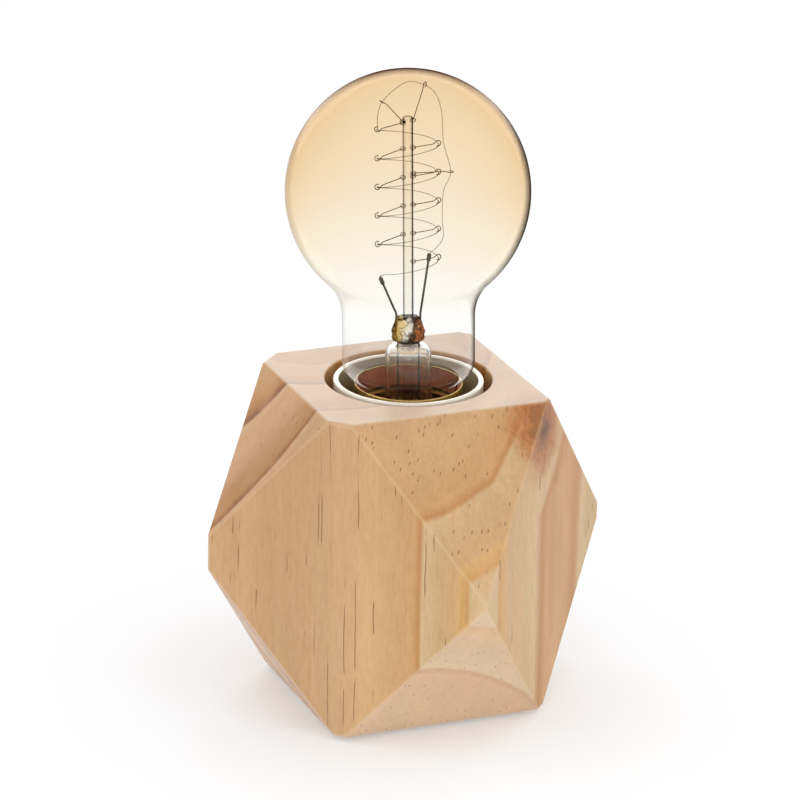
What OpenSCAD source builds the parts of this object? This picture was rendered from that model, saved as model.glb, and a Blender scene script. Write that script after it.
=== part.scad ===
// Bare bulb table lamp: a pine block with cut corners, a porcelain lampholder sunk in its top
// and a screw-in filament bulb. Millimetres, +Z up, origin on the table under the middle of the block.

/* [Wood block] */
// Width of the block across its flat sides
block_w = 75; // [72:1:92]
// Height of the block
block_h = 83; // [78:1:100]
// Diameter of the bore that takes the lampholder
bore_d = 41.6; // [39:0.2:44]
// Wood left between the lampholder and the base cavity
web_t = 9; // [6:0.5:10]
// Diameter of the cavity in the base
cavity_d = 38; // [34:0.5:39]
// How far the front left upper corner cut stays short of a full cut
short_cut_front_left = 3; // [0:0.5:4]
// How far the other uneven corner cuts stay short, at most
short_cut_rest = 1.3; // [0:0.1:2]

/* [Base plate and feet] */
// Diameter of the base plate
plate_d = 45; // [43.5:0.5:46]
// Thickness of the base plate
plate_t = 1.5; // [1:0.1:2.5]
// Diameter of a foot pad
foot_d = 7; // [5:0.5:8]
// Thickness of a foot pad
foot_t = 1.2; // [0.8:0.1:3]
// Diameter of the base plate's screws
plate_screw_d = 2.4; // [2:0.1:2.6]
// Length of the base plate's screws
plate_screw_l = 12; // [8:1:16]

/* [Cord inlet] */
// Bore of the bush that a cord passes through
bush_bore_d = 6.6; // [5:0.2:7]
// Outer diameter of the bush
bush_d = 8.6; // [8:0.2:10]
// Diameter of the bush's flange
bush_flange_d = 12; // [11:0.5:14]
// Thickness of the bush's flange
bush_flange_t = 1.2; // [0.8:0.1:2]
// Height of the inlet's axis over the underside of the wood
bush_rise = 13; // [12:0.5:15]

/* [Lampholder] */
// Outer diameter of the porcelain sleeve and base
holder_d = 37.6; // [36.5:0.1:38.6]
// Inner diameter of the sleeve's open mouth
mouth_d = 34.6; // [33.8:0.1:35.4]
// Depth of the mouth, down to the ledge round the screw shell
mouth_depth = 8; // [5:0.5:10]
// Height of the porcelain sleeve
sleeve_h = 32; // [31:0.5:34]
// Height of the porcelain base
holder_base_h = 12; // [11.5:0.5:14]
// How far the sleeve's rim lies under the wood's top face
rim_drop = 0.2; // [0:0.1:2]
// Rise from one turn of the thread to the next
thread_pitch = 3.629; // [3.4:0.01:3.8]
// Half the depth of the thread
thread_amp = 0.55; // [0.4:0.05:0.6]
// Gap between the bulb's thread and the holder's
thread_gap = 0.4; // [0.3:0.05:0.5]
// Thickness of the bracket's steel
bracket_t = 1.5; // [1:0.1:2]
// Room under the bracket's raised ends for its screw heads
bracket_rise = 3; // [2.5:0.1:3.4]
// Outer diameter of the hollow mounting nipple
nipple_d = 10; // [9:0.5:11]
// Bore of the nipple
nipple_bore_d = 7.6; // [6.6:0.1:8]

/* [Bulb] */
// Greatest diameter of the glass
bulb_d = 60.5; // [50:0.5:64]
// Length of the whole bulb, from its end contact to its crown
bulb_l = 106.5; // [96:0.5:128]
// Diameter of the glass neck
neck_d = 33; // [31:0.5:33.5]
// Radius of the sweep from the round head into the neck
neck_sweep_r = 14; // [8:1:20]
// Thickness of the glass
glass_t = 0.8; // [0.5:0.1:1.2]
// Length of the screw cap
cap_l = 26.5; // [26:0.5:28]
// Middle diameter of the cap's thread
cap_thread_d = 25.4; // [25:0.1:25.6]
// Diameter of the plain skirt at the cap's rim
skirt_d = 27.2; // [26.8:0.1:28]
// How far the cap's rim lies under the wood's top face
cap_sink = 1.3; // [0.5:0.1:3]
// How far the glass leans in its cap, in degrees
glass_lean = 1.2; // [0:0.1:1.5]

/* [Filament] */
// Turns that the filament makes round the glass rod
filament_turns = 4.5; // [2.5:1:5.5]
// Radius at which the hooks hold the filament
hook_reach = 8; // [6:0.5:9]
// Distance from the rod's axis to the filament midway between two hooks
filament_waist = 3.8; // [3.4:0.1:5]
// Diameter of the filament
filament_d = 0.26; // [0.2:0.02:0.3]
// Diameter of the hook wires
hook_wire_d = 0.3; // [0.24:0.02:0.36]
// Radius of a hook's loop
hook_r = 0.7; // [0.6:0.05:0.9]
// Diameter of the glass rod
rod_d = 2.6; // [2.2:0.1:3]

/* [Hidden] */
$fn = 64;

// Clearances: loose fit round a fastener, sliding fit, and the overshoot of a cutting shape
fit = 0.1;
seat_gap = 0.3;
over = 1;

// Colours
pine = [0.87, 0.72, 0.54];
porcelain = [0.93, 0.92, 0.88];
brass = [0.8, 0.62, 0.3];
steel = [0.72, 0.73, 0.75];
black_glass = [0.08, 0.07, 0.1];
clear_glass = [0.85, 0.88, 0.88, 0.35];
amber_glass = [0.95, 0.8, 0.55, 0.35];
wire_grey = [0.35, 0.32, 0.3];
white_nylon = [0.9, 0.9, 0.88];

// Levels of the block and of what is stacked in it
wood_top = foot_t + block_h;
rim_z = wood_top - rim_drop;
sleeve_z = rim_z - sleeve_h;
base_z = sleeve_z - holder_base_h;
seat_z = base_z - bracket_t - bracket_rise;
cavity_top = seat_z - web_t;
plate_inset = 0.3;
plate_z = foot_t + plate_inset;
plate_top = plate_z + plate_t;

// Corner cuts: direction of each corner, and how far its cut stays short
CORNER_CUTS = [
    [[-1, -1, 1], short_cut_front_left],
    [[1, -1, 1], short_cut_rest * 0.35],
    [[1, 1, 1], short_cut_rest * 0.4],
    [[-1, 1, 1], short_cut_rest * 0.75],
    [[-1, -1, -1], short_cut_rest],
    [[1, -1, -1], 0],
    [[1, 1, -1], short_cut_rest * 0.95],
    [[-1, 1, -1], 0]
];

// Base plate screws stand on the land between the cavity and the plate's edge
plate_screws = 3;
plate_screw_r = (cavity_d + plate_d) / 4;
plate_screw_head = 2 * plate_screw_d - 0.4;
foot_r = plate_d / 2 + 2 * seat_gap + foot_d / 2;

// Cord inlet
bush_z = foot_t + bush_rise;
bush_in = 1;

// Nipple, washers and nut under the web
washer_t = 1;
washer_d = nipple_d + 8;
lock_washer_t = 0.8;
lock_washer_d = nipple_d + 5;
nut_h = 3;
nut_across = nipple_d + 4;
nipple_tail = 1.5;
nipple_z = cavity_top - washer_t - lock_washer_t - nut_h - nipple_tail;
nipple_top = seat_z + bracket_t + 1.5;

// Porcelain base: floor over one chamber for both terminals
floor_t = 4.5;
floor_z = sleeve_z - floor_t;
chamber_l = 27;
chamber_w = 9;
well_d = 13;
bracket_w = max(12, nipple_d + 2);
bracket_screw_d = 3;
bracket_screw_head = 2 * bracket_screw_d - 1;
bracket_screw_l = 8;
bracket_half = holder_d / 2 - 1.4;
joggle_y = washer_d / 2 - 1;
bracket_screw_y = joggle_y + bracket_rise + bracket_screw_head / 2 + 0.2;

// Screw shell and sleeve
shell_mid_r = cap_thread_d / 2 + thread_gap;
shell_wall = 0.45;
shell_r = shell_mid_r + thread_amp + shell_wall;
shell_top = rim_z - mouth_depth - 0.5;
flange_t = 0.5;
flange_hole_r = 9.2;
sleeve_wall_r = shell_r + 0.4;
holder_screw_r = (sleeve_wall_r + holder_d / 2) / 2 - 0.3;
holder_screw_d = 2.4;
holder_screw_in = 9;
holder_screw_head = 3.8;

// Bulb levels: its rim, its end contact, and the glass measured from the rim
cap_rim_z = wood_top - cap_sink;
cap_end_z = cap_rim_z - cap_l;
neck_r = neck_d / 2;
head_r = bulb_d / 2;
head_z = bulb_l - cap_l - head_r;

// Thread on the cap: where it starts and ends over the end contact
thread_lo = 6.5;
thread_hi = 20;
thread_fade = 1.5;
thread_rows = 6;
thread_cols = 32;
// Travel that lets the threads go, and the turns that it takes
shell_thread_hi = shell_top - 1;
thread_travel = shell_thread_hi - (cap_end_z + thread_lo);
echo(thread_travel = thread_travel, turn_deg = 360 * thread_travel / thread_pitch);

// Centre contact: a foot screwed to the floor and a leaf that springs from it
leaf_t = 0.4;
leaf_w = 5;
leaf_root_x = -4.2;
leaf_gap = 0.1;
contact_foot_l = 3.8;
contact_screw_x = leaf_root_x - contact_foot_l / 2 - 0.1;
contact_screw_d = 2;
shell_rivet_x = (flange_hole_r + shell_mid_r + thread_amp) / 2;
small_head_d = 3.6;
small_head_h = 0.8;

// Terminal blocks in the chamber
terminal_l = 7.4;
terminal_w = 6;
terminal_h = 5;
terminal_lap = 1.6;
live_x = contact_screw_x + terminal_lap - terminal_l / 2;
neutral_x = shell_rivet_x + terminal_lap + 0.2 - terminal_l / 2;
wire_hole_d = 2.2;
wire_hole_z = floor_z - terminal_h / 2;
terminal_screw_d = 2.8;
terminal_head_d = 4.8;
terminal_head_h = 1.8;

// Two-pole connector on the base plate
connector_w = 16;
connector_l = 17;
connector_h = 8;
turret_h = 12;
turret_d = 5.8;
pole_x = 4;
pole_screw_y = 4.5;
pole_z = plate_top + 5.5;
tube_d = 5;
tube_bore_d = 3;
tube_l = 15;
pole_screw_d = 2.4;
pole_head_d = 3.4;
pole_head_h = 1.8;
fixing_screw_d = 2.4;

// Insulated leads
lead_d = 1.8;
core_d = 1.1;
lead_x = 1.4;
lead_sides = 8;

// Stem, measured from the cap's rim
flare_z = -12;
flange_glass_t = 1;
tube_in_cap_r = 11.3;
stem_r = 5.7;
stem_wall = 0.8;
pinch_z = 10.3;
pinch_h = 7.2;
pinch_w = 9;
pinch_t = 3.6;
exhaust_r = 1.5;
exhaust_y = 1.1;
lead_in_x = 3;
lead_in_d = 0.7;
cap_wire_d = 0.5;
wire_fit = 0.12;
// The lead-in wires lie in the plane seen in the photo, the hooks a little turned from it
stem_turn = 23;
hook_turn = 45;
lean_axis = [sin(stem_turn), -cos(stem_turn), 0];

// Filament levels, measured from the cap's rim
rod_top = head_z + 19.3;
coil_top = head_z + 16.8;
coil_bottom = pinch_z + 21.5;
back_drop = 5.4;
turn_drop = (coil_top - coil_bottom - back_drop) / (filament_turns - 0.5);
front_drop = turn_drop - back_drop;
bead_r = 0.8;
bead_x = rod_d / 2 + 0.2;
root_x = rod_d / 2 + 0.1;
arc_left = [-0.84 * hook_reach, 0, head_z + 23.6];
arc_right = [0.56 * hook_reach, 0, head_z + 26.7];
arc_top = [0.06 * hook_reach, 0, head_z + 28];
return_turn = -35;
return_r = hook_reach + 0.9;
return_hook = [return_r + 1.8, head_z + 5.8];
live_blob = [-0.89 * hook_reach, 0.1 * hook_reach, coil_bottom - 3.6];
neutral_blob = [0.61 * hook_reach, -0.25 * hook_reach, coil_bottom + 2];
blob_l = 2.2;
blob_d = 1.1;
filament_sides = 6;

// ---------------------------------------------------------------- functions

function unit(v) = v / norm(v);
function polar(r, a, z) = [r * cos(a), r * sin(a), z];
function turned(p, a) = [p.x * cos(a) - p.y * sin(a), p.x * sin(a) + p.y * cos(a), p.z];
function arc(c, r, a0, a1, n) = [for (i = [0:n]) c + r * [cos(a0 + (a1 - a0) * i / n), sin(a0 + (a1 - a0) * i / n)]];
function mixed(a, b, t) = a + (b - a) * t;

// Smooth curve through points, with steps from one point to the next
function curve_at(a, b, c, d, t) =
    0.5 * (2 * b + (c - a) * t + (2 * a - 5 * b + 4 * c - d) * t * t + (3 * b - a - 3 * c + d) * t * t * t);
function curve(p, steps) = let (n = len(p) - 1) [
    for (i = [0:n - 1]) for (s = [0:steps - 1])
        curve_at(p[max(i - 1, 0)], p[i], p[i + 1], p[min(i + 2, n)], s / steps),
    p[n]
];

// Side vectors carried along a path without twist
function along(p, i) = unit(p[min(i + 1, len(p) - 1)] - p[max(i - 1, 0)]);
function square_to(s, t) = unit(s - (s * t) * t);
function first_side(t) = square_to(abs(t.z) < 0.9 ? [0, 0, 1] : [1, 0, 0], t);
function sides_of(p) = [
    for (i = 0, s = first_side(along(p, 0)); i < len(p);
         i = i + 1, s = i < len(p) ? square_to(s, along(p, i)) : s) s
];

// Least distance between points of a path that are more than skip steps apart
function least_gap(p, skip) = min([
    for (i = [0:len(p) - 1]) for (j = [i + skip:1:len(p) - 1]) norm(p[i] - p[j])
]);

// ---------------------------------------------------------------- shared shapes

// Faces between rows of a ring-shaped grid, seen clockwise from outside
function grid_faces(rows, cols, closed) = [
    for (i = [0:rows - (closed ? 1 : 2)]) for (k = [0:cols - 1])
        let (a = i * cols + k, b = i * cols + (k + 1) % cols,
             c = (i + 1) % rows * cols + k, d = (i + 1) % rows * cols + (k + 1) % cols)
            each [[a, c, d], [a, d, b]]
];

// Tube swept along a path; radii holds one radius a point
module swept(p, radii, sides) {
    n = len(p);
    side = sides_of(p);
    points = [
        for (i = [0:n - 1]) let (t = along(p, i), s = side[i], b = cross(t, s)) for (k = [0:sides - 1])
            p[i] + radii[i] * (cos(360 * k / sides) * s + sin(360 * k / sides) * b)
    ];
    ends = [[for (k = [0:sides - 1]) k], [for (k = [sides - 1:-1:0]) (n - 1) * sides + k]];
    polyhedron(points, concat(ends, grid_faces(n, sides, false)));
}

module wire(p, d, sides) {
    swept(p, [for (q = p) d / 2], sides);
}

// Ring of sheet or glass: closed outline [radius, z], with the thread's depth at each point
module threaded_ring(outline, pitch, cols) {
    points = [
        for (q = outline) for (k = [0:cols - 1])
            let (a = 360 * k / cols, r = q[0] + q[2] * cos(360 * q[1] / pitch - a)) polar(r, a, q[1])
    ];
    polyhedron(points, grid_faces(len(outline), cols, true));
}

module disc_ring(outer_d, inner_d, h) {
    difference() {
        cylinder(d = outer_d, h = h);
        translate([0, 0, -over]) cylinder(d = inner_d, h = h + 2 * over);
    }
}

module countersunk_screw(d, head_d, l) {
    head_h = (head_d - d) / 2;
    cylinder(d1 = head_d, d2 = d, h = head_h);
    cylinder(d = d, h = l);
}

module countersunk_hole(d, head_d, h) {
    head_h = (head_d - d) / 2;
    translate([0, 0, -over]) cylinder(d = head_d + fit, h = over);
    cylinder(d1 = head_d + fit, d2 = d + fit, h = head_h);
    cylinder(d = d + fit, h = h + over);
}

// Screw that points up, with a slotted cheese head under z = 0
module cheese_screw(d, head_d, head_h, l) {
    cylinder(d = d, h = l);
    difference() {
        translate([0, 0, -head_h]) cylinder(d = head_d, h = head_h);
        translate([-head_d, -0.25, -head_h - over]) cube([2 * head_d, 0.5, over + 0.4 * head_h]);
    }
}

// Everything fused to the glass, which leans a little in its cap
module in_glass() {
    translate([0, 0, cap_rim_z]) rotate(a = glass_lean, v = lean_axis) children();
}

module in_stem() {
    in_glass() rotate([0, 0, stem_turn]) children();
}

// ---------------------------------------------------------------- block, base and inlet

module corner_cut(dir, short) {
    half = [block_w / 2, block_w / 2, block_h / 2];
    n = [dir.x / half.x, dir.y / half.y, dir.z / half.z];
    reach = 2 / norm(n) + short;
    size = 2 * block_h;
    translate([0, 0, foot_t + block_h / 2] + reach * unit(n))
        rotate([0, acos(n.z / norm(n)), atan2(n.y, n.x)])
            translate([-size / 2, -size / 2, 0]) cube(size);
}

module plate_screw_places() {
    for (i = [0:plate_screws - 1]) rotate([0, 0, 30 + 360 * i / plate_screws])
        translate([plate_screw_r, 0, plate_z]) children();
}

module wood_block() {
    color(pine) difference() {
        translate([-block_w / 2, -block_w / 2, foot_t]) cube([block_w, block_w, block_h]);
        for (c = CORNER_CUTS) corner_cut(c[0], c[1]);
        translate([0, 0, seat_z]) cylinder(d = bore_d, h = block_h);
        translate([0, 0, foot_t]) cylinder(d = nipple_d + 4 * fit, h = block_h);
        translate([0, 0, -over]) cylinder(d = cavity_d, h = cavity_top + over);
        translate([0, 0, -over]) cylinder(d = plate_d + 2 * seat_gap, h = plate_top + over);
        translate([0, 0, bush_z]) rotate([-90, 0, 0]) cylinder(d = bush_d + fit, h = block_w);
        translate([0, block_w / 2 - bush_flange_t, bush_z]) rotate([-90, 0, 0])
            cylinder(d = bush_flange_d + seat_gap, h = block_w);
        plate_screw_places() cylinder(d = plate_screw_d + 2 * fit, h = plate_screw_l + 1);
    }
}

module cord_bush() {
    length = block_w / 2 - cavity_d / 2 + bush_in;
    color(white_nylon) translate([0, block_w / 2, bush_z]) rotate([90, 0, 0]) {
        disc_ring(bush_flange_d, bush_bore_d, bush_flange_t);
        disc_ring(bush_d, bush_bore_d, length);
    }
}

module base_plate() {
    color(steel) difference() {
        translate([0, 0, plate_z]) cylinder(d = plate_d, h = plate_t);
        plate_screw_places() countersunk_hole(plate_screw_d, plate_screw_head, plate_t);
        translate([0, 0, plate_z]) countersunk_hole(fixing_screw_d, plate_screw_head, plate_t);
    }
}

module base_plate_screws() {
    color(steel) plate_screw_places() countersunk_screw(plate_screw_d, plate_screw_head, plate_screw_l);
}

module feet() {
    color([0.2, 0.2, 0.2]) for (a = [0:90:270]) rotate([0, 0, a]) translate([foot_r, 0, 0])
        cylinder(d = foot_d, h = foot_t);
}

// ---------------------------------------------------------------- lampholder mounting

module bracket_profile() {
    // Side view: flat in the middle, raised at both ends
    up = bracket_rise;
    polygon([
        [-bracket_half, up], [-joggle_y - up, up], [-joggle_y, 0], [joggle_y, 0], [joggle_y + up, up],
        [bracket_half, up], [bracket_half, up + bracket_t], [joggle_y + up - bracket_t / 2, up + bracket_t],
        [joggle_y - bracket_t / 2, bracket_t], [-joggle_y + bracket_t / 2, bracket_t],
        [-joggle_y - up + bracket_t / 2, up + bracket_t], [-bracket_half, up + bracket_t]
    ]);
}

module holder_bracket() {
    color(steel) difference() {
        translate([-bracket_w / 2, 0, seat_z]) rotate([90, 0, 90]) linear_extrude(bracket_w) bracket_profile();
        translate([0, 0, seat_z - over]) cylinder(d = nipple_d + fit, h = bracket_t + 2 * over);
        for (s = [-1, 1]) translate([0, s * bracket_screw_y, seat_z])
            cylinder(d = bracket_screw_d + fit, h = bracket_rise + bracket_t + over);
    }
}

module bracket_screws() {
    color(steel) for (s = [-1, 1]) translate([0, s * bracket_screw_y, seat_z + bracket_rise])
        cheese_screw(bracket_screw_d, bracket_screw_head, bracket_rise - 1, bracket_screw_l + bracket_t);
}

module mounting_nipple() {
    color(steel) translate([0, 0, nipple_z]) disc_ring(nipple_d, nipple_bore_d, nipple_top - nipple_z);
}

module nipple_washer() {
    color(steel) translate([0, 0, cavity_top - washer_t]) disc_ring(washer_d, nipple_d + 2 * fit, washer_t);
}

module nipple_lock_washer() {
    // Toothed washer: a ring with notches round its edge
    teeth = 8;
    notch_w = 1.6;
    color(steel) translate([0, 0, cavity_top - washer_t - lock_washer_t]) difference() {
        disc_ring(lock_washer_d, nipple_d + 2 * fit, lock_washer_t);
        for (i = [0:teeth - 1]) rotate([0, 0, 360 * i / teeth])
            translate([lock_washer_d / 2 - 1, -notch_w / 2, -over]) cube([over + 1, notch_w, lock_washer_t + 2 * over]);
    }
}

module nipple_nut() {
    color(steel) translate([0, 0, cavity_top - washer_t - lock_washer_t - nut_h]) difference() {
        cylinder(d = nut_across / cos(30), h = nut_h, $fn = 6);
        translate([0, 0, -over]) cylinder(d = nipple_d + fit, h = nut_h + 2 * over);
    }
}

// ---------------------------------------------------------------- lampholder

module holder_screw_places() {
    for (a = [45, 225]) rotate([0, 0, a]) translate([holder_screw_r, 0, base_z]) children();
}

module holder_base() {
    color(porcelain) difference() {
        translate([0, 0, base_z]) cylinder(d = holder_d, h = holder_base_h);
        translate([-chamber_l / 2, -chamber_w / 2, base_z - over])
            cube([chamber_l, chamber_w, floor_z - base_z + over]);
        translate([0, 0, base_z - over]) cylinder(d = well_d, h = floor_z - base_z + over);
        for (s = [-1, 1]) translate([0, s * bracket_screw_y, base_z - over])
            cylinder(d = bracket_screw_d + fit, h = bracket_screw_l + over + 0.5);
        holder_screw_places() {
            translate([0, 0, -over]) cylinder(d = holder_screw_head + seat_gap, h = over + 2);
            cylinder(d = holder_screw_d + fit, h = holder_base_h + over);
        }
        translate([contact_screw_x, 0, base_z]) cylinder(d = contact_screw_d + fit, h = holder_base_h + over);
        translate([shell_rivet_x, 0, base_z]) cylinder(d = contact_screw_d + fit, h = holder_base_h + over);
    }
}

module holder_sleeve() {
    rim_round = 0.6;
    ledge_z = mouth_depth;
    color(porcelain) difference() {
        translate([0, 0, rim_z]) rotate_extrude() polygon(concat(
            [[sleeve_wall_r, -sleeve_h], [holder_d / 2, -sleeve_h]],
            arc([holder_d / 2 - rim_round, -rim_round], rim_round, 0, 90, 6),
            arc([mouth_d / 2 + rim_round, -rim_round], rim_round, 90, 180, 6),
            [[mouth_d / 2, -ledge_z], [sleeve_wall_r, -ledge_z]]
        ));
        holder_screw_places() cylinder(d = holder_screw_d + fit, h = holder_base_h + holder_screw_in + 1);
    }
}

module holder_screws() {
    color(steel) holder_screw_places() translate([0, 0, 2])
        cheese_screw(holder_screw_d, holder_screw_head, 1.6, holder_base_h - 2 + holder_screw_in);
}

// Outline points of a thread: plain radius, z and depth, in rows of equal rise
function thread_points(mid, lo, hi, sign) = let (n = ceil((hi - lo) * thread_rows / thread_pitch)) [
    for (i = [0:n]) let (z = lo + (hi - lo) * i / n, fade = min(1, (z - lo) / thread_fade, (hi - z) / thread_fade))
        [mid + sign * thread_amp * (1 - fade), z, thread_amp * fade]
];
function backwards(list) = [for (i = [len(list) - 1:-1:0]) list[i]];

module screw_shell() {
    inner = thread_points(shell_mid_r, sleeve_z + 5.5, shell_thread_hi, 1);
    wide = shell_mid_r + thread_amp;
    color(brass) difference() {
        threaded_ring(concat(
            [[flange_hole_r, sleeve_z, 0], [shell_r, sleeve_z, 0], [shell_r, shell_top, 0], [wide, shell_top, 0]],
            backwards(inner),
            [[wide, sleeve_z + flange_t, 0], [flange_hole_r, sleeve_z + flange_t, 0]]
        ), thread_pitch, thread_cols);
        translate([shell_rivet_x, 0, sleeve_z - over]) cylinder(d = contact_screw_d + fit, h = 3 * over);
    }
}

module floor_fastener(x, seat, l) {
    translate([x, 0, 0]) {
        translate([0, 0, seat]) cylinder(d = small_head_d, h = small_head_h);
        translate([0, 0, seat - l]) cylinder(d = contact_screw_d, h = l);
    }
}

module shell_rivet() {
    color(brass) floor_fastener(shell_rivet_x, sleeve_z + flange_t, flange_t + floor_t + 1);
}

module contact_screw() {
    color(steel) difference() {
        floor_fastener(contact_screw_x, sleeve_z + leaf_t, leaf_t + floor_t + 1);
        translate([contact_screw_x - small_head_d, -0.25, sleeve_z + leaf_t + small_head_h / 2])
            cube([2 * small_head_d, 0.5, small_head_h]);
    }
}

module contact_foot() {
    color(brass) difference() {
        translate([leaf_root_x - contact_foot_l, -leaf_w / 2, sleeve_z]) cube([contact_foot_l, leaf_w, leaf_t]);
        translate([contact_screw_x, 0, sleeve_z - over]) cylinder(d = contact_screw_d + fit, h = 3 * over);
    }
}

module centre_contact() {
    // Spring leaf: rises from the foot to a flat pad under the bulb, its tip turned down
    root = [leaf_root_x + leaf_gap, sleeve_z + 0.15];
    pad = cap_end_z - leaf_t;
    up = [0, leaf_t];
    color(brass) rotate([90, 0, 0]) translate([0, 0, -leaf_w / 2]) linear_extrude(leaf_w) polygon([
        root, root + [0.5, 0.1], [-1.6, pad], [2.4, pad], [3.4, pad - 0.8],
        [3.6, pad - 0.4], [2.5, pad + leaf_t], [-1.8, pad + leaf_t], root + [0.2, 0.55], root + up
    ]);
}

module terminal(x, screw_x) {
    // Block under the floor; the wire comes in from the middle of the holder
    inner = x > 0 ? x - terminal_l / 2 : x + terminal_l / 2;
    toward = x > 0 ? 90 : -90;
    difference() {
        translate([x - terminal_l / 2, -terminal_w / 2, floor_z - terminal_h])
            cube([terminal_l, terminal_w, terminal_h]);
        translate([inner, 0, wire_hole_z]) rotate([0, toward, 0]) translate([0, 0, -over])
            cylinder(d = wire_hole_d, h = over + terminal_l - 1.5);
        translate([x, 0, floor_z - terminal_h - over]) cylinder(d = terminal_screw_d + fit, h = over + terminal_h / 2);
        translate([screw_x, 0, floor_z - 1.1]) cylinder(d = contact_screw_d + fit, h = 1.1 + over);
    }
}

module live_terminal() {
    color(brass) terminal(live_x, contact_screw_x);
}

module neutral_terminal() {
    color(brass) terminal(neutral_x, shell_rivet_x);
}

module terminal_screws() {
    color(steel) for (x = [live_x, neutral_x]) translate([x, 0, floor_z - terminal_h])
        cheese_screw(terminal_screw_d, terminal_head_d, terminal_head_h, terminal_h / 2 - core_d / 2 - 0.1);
}

// ---------------------------------------------------------------- connector and leads

module connector_body() {
    color(white_nylon) difference() {
        union() {
            translate([-connector_w / 2, -connector_l / 2, plate_top]) cube([connector_w, connector_l, connector_h]);
            for (x = [-pole_x, pole_x]) for (y = [-pole_screw_y, pole_screw_y]) translate([x, y, plate_top])
                cylinder(d = turret_d, h = turret_h);
        }
        for (x = [-pole_x, pole_x]) {
            translate([x, connector_l / 2 + over, pole_z]) rotate([90, 0, 0])
                cylinder(d = tube_d + fit, h = connector_l + 2 * over);
            for (y = [-pole_screw_y, pole_screw_y]) translate([x, y, pole_z])
                cylinder(d = pole_head_d + 2 * seat_gap, h = turret_h);
        }
        translate([0, 0, plate_top - over]) cylinder(d = fixing_screw_d + fit, h = connector_h + 2 * over);
    }
}

module connector_sleeves() {
    color(brass) for (x = [-pole_x, pole_x]) difference() {
        translate([x, tube_l / 2, pole_z]) rotate([90, 0, 0]) disc_ring(tube_d, tube_bore_d, tube_l);
        for (y = [-pole_screw_y, pole_screw_y]) translate([x, y, pole_z]) cylinder(d = pole_screw_d + fit, h = tube_d);
    }
}

module connector_screws() {
    tip = pole_z + core_d / 2 + 0.1;
    head = pole_z + tube_d / 2 + 1;
    color(steel) for (x = [-pole_x, pole_x]) for (y = [-pole_screw_y, pole_screw_y]) translate([x, y, head])
        mirror([0, 0, 1]) cheese_screw(pole_screw_d, pole_head_d, pole_head_h, head - tip);
}

module connector_fixing_screw() {
    color(steel) translate([0, 0, plate_z])
        countersunk_screw(fixing_screw_d, plate_screw_head, plate_t + connector_h - 0.5);
}

// One lead, from its terminal down the nipple and round into the connector; side is -1 or 1
module lead(side, terminal_x) {
    inner = side * (abs(terminal_x) - terminal_l / 2);
    stub = side * 3;
    ground = pole_z;
    loop_y = -connector_l / 2;
    route = [
        [inner + stub, 0, wire_hole_z], [inner, 0, wire_hole_z], [inner - side * 0.8, 0, wire_hole_z],
        [side * (lead_x + 0.9), 0, wire_hole_z - 1], [side * lead_x, 0, wire_hole_z - 3.6],
        [side * lead_x, 0, nipple_top - 1], [side * lead_x, 0, (nipple_top + nipple_z) / 2],
        [side * lead_x, 0, nipple_z + 0.5], [side * 1.8, -1.4, nipple_z - 1.6],
        [side * 2.8, loop_y + 2.5, nipple_z - 3.6], [side * pole_x, loop_y - 3.2, ground + 6],
        [side * pole_x, loop_y - 5.2, ground + 3], [side * pole_x, loop_y - 4, ground + 0.6],
        [side * pole_x, loop_y - 1.6, ground], [side * pole_x, loop_y - 0.2, ground],
        [side * pole_x, loop_y + 4, ground]
    ];
    steps = 3;
    path = curve(route, steps);
    last = len(path) - 1;
    bare_in = 2 * steps - 1;
    bare_out = last - 2 * steps + 1;
    swept(path, [for (i = [0:last]) (i < bare_in || i > bare_out ? core_d : lead_d) / 2], lead_sides);
}

module live_lead() {
    color([0.45, 0.2, 0.1]) lead(-1, live_x);
}

module neutral_lead() {
    color([0.15, 0.3, 0.6]) lead(1, neutral_x);
}

// ---------------------------------------------------------------- bulb cap

module bulb_cap() {
    mid = cap_thread_d / 2;
    root = mid - thread_amp;
    skirt = skirt_d / 2;
    sheet = 0.4;
    inside = root - sheet;
    color(brass) translate([0, 0, cap_end_z]) rotate([0, 0, 360 * cap_end_z / thread_pitch]) threaded_ring(concat(
        [[8.8, 4.5, 0], [root - 0.9, 5.6, 0]],
        thread_points(mid, thread_lo, thread_hi, -1),
        [[skirt, thread_hi + 1, 0], [skirt, cap_l, 0], [skirt - sheet, cap_l, 0],
         [skirt - sheet, thread_hi + 1.4, 0], [inside, thread_hi + 0.2, 0], [inside, thread_lo + 0.4, 0],
         [inside - 0.9, 5.7, 0], [8.4, 5, 0]]
    ), thread_pitch, thread_cols);
}

module cap_insulator() {
    hole_r = 1.5;
    inside = cap_thread_d / 2 - thread_amp - 0.4;
    color(black_glass) translate([0, 0, cap_end_z]) rotate_extrude() polygon([
        [hole_r, 1], [6.2, 1], [8.1, 4.4], [8.1, 5.4], [inside - 1.5, 6.1], [inside - 0.6, 7], [inside - 0.6, 7.8],
        [hole_r, 7.8]
    ]);
}

module cap_contact() {
    color(brass) translate([0, 0, cap_end_z]) {
        translate([0, 0, 0.5]) cylinder(r = 5.6, h = 0.5);
        translate([0, 0, 0.5]) cylinder(r = 1.2, h = 3);
    }
}

module contact_solder() {
    color(steel) translate([0, 0, cap_end_z]) cylinder(r1 = 1.6, r2 = 2.8, h = 0.5);
}

module cap_cement() {
    // Ring of cement between the glass and the cap's skirt
    outside = skirt_d / 2 - 0.5;
    color([0.75, 0.7, 0.6]) translate([0, 0, cap_rim_z]) rotate_extrude() polygon([
        [12.95, -0.3], [outside, -0.3], [outside, -4.9], [12, -4.9]
    ]);
}

// ---------------------------------------------------------------- bulb glass and stem

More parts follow.
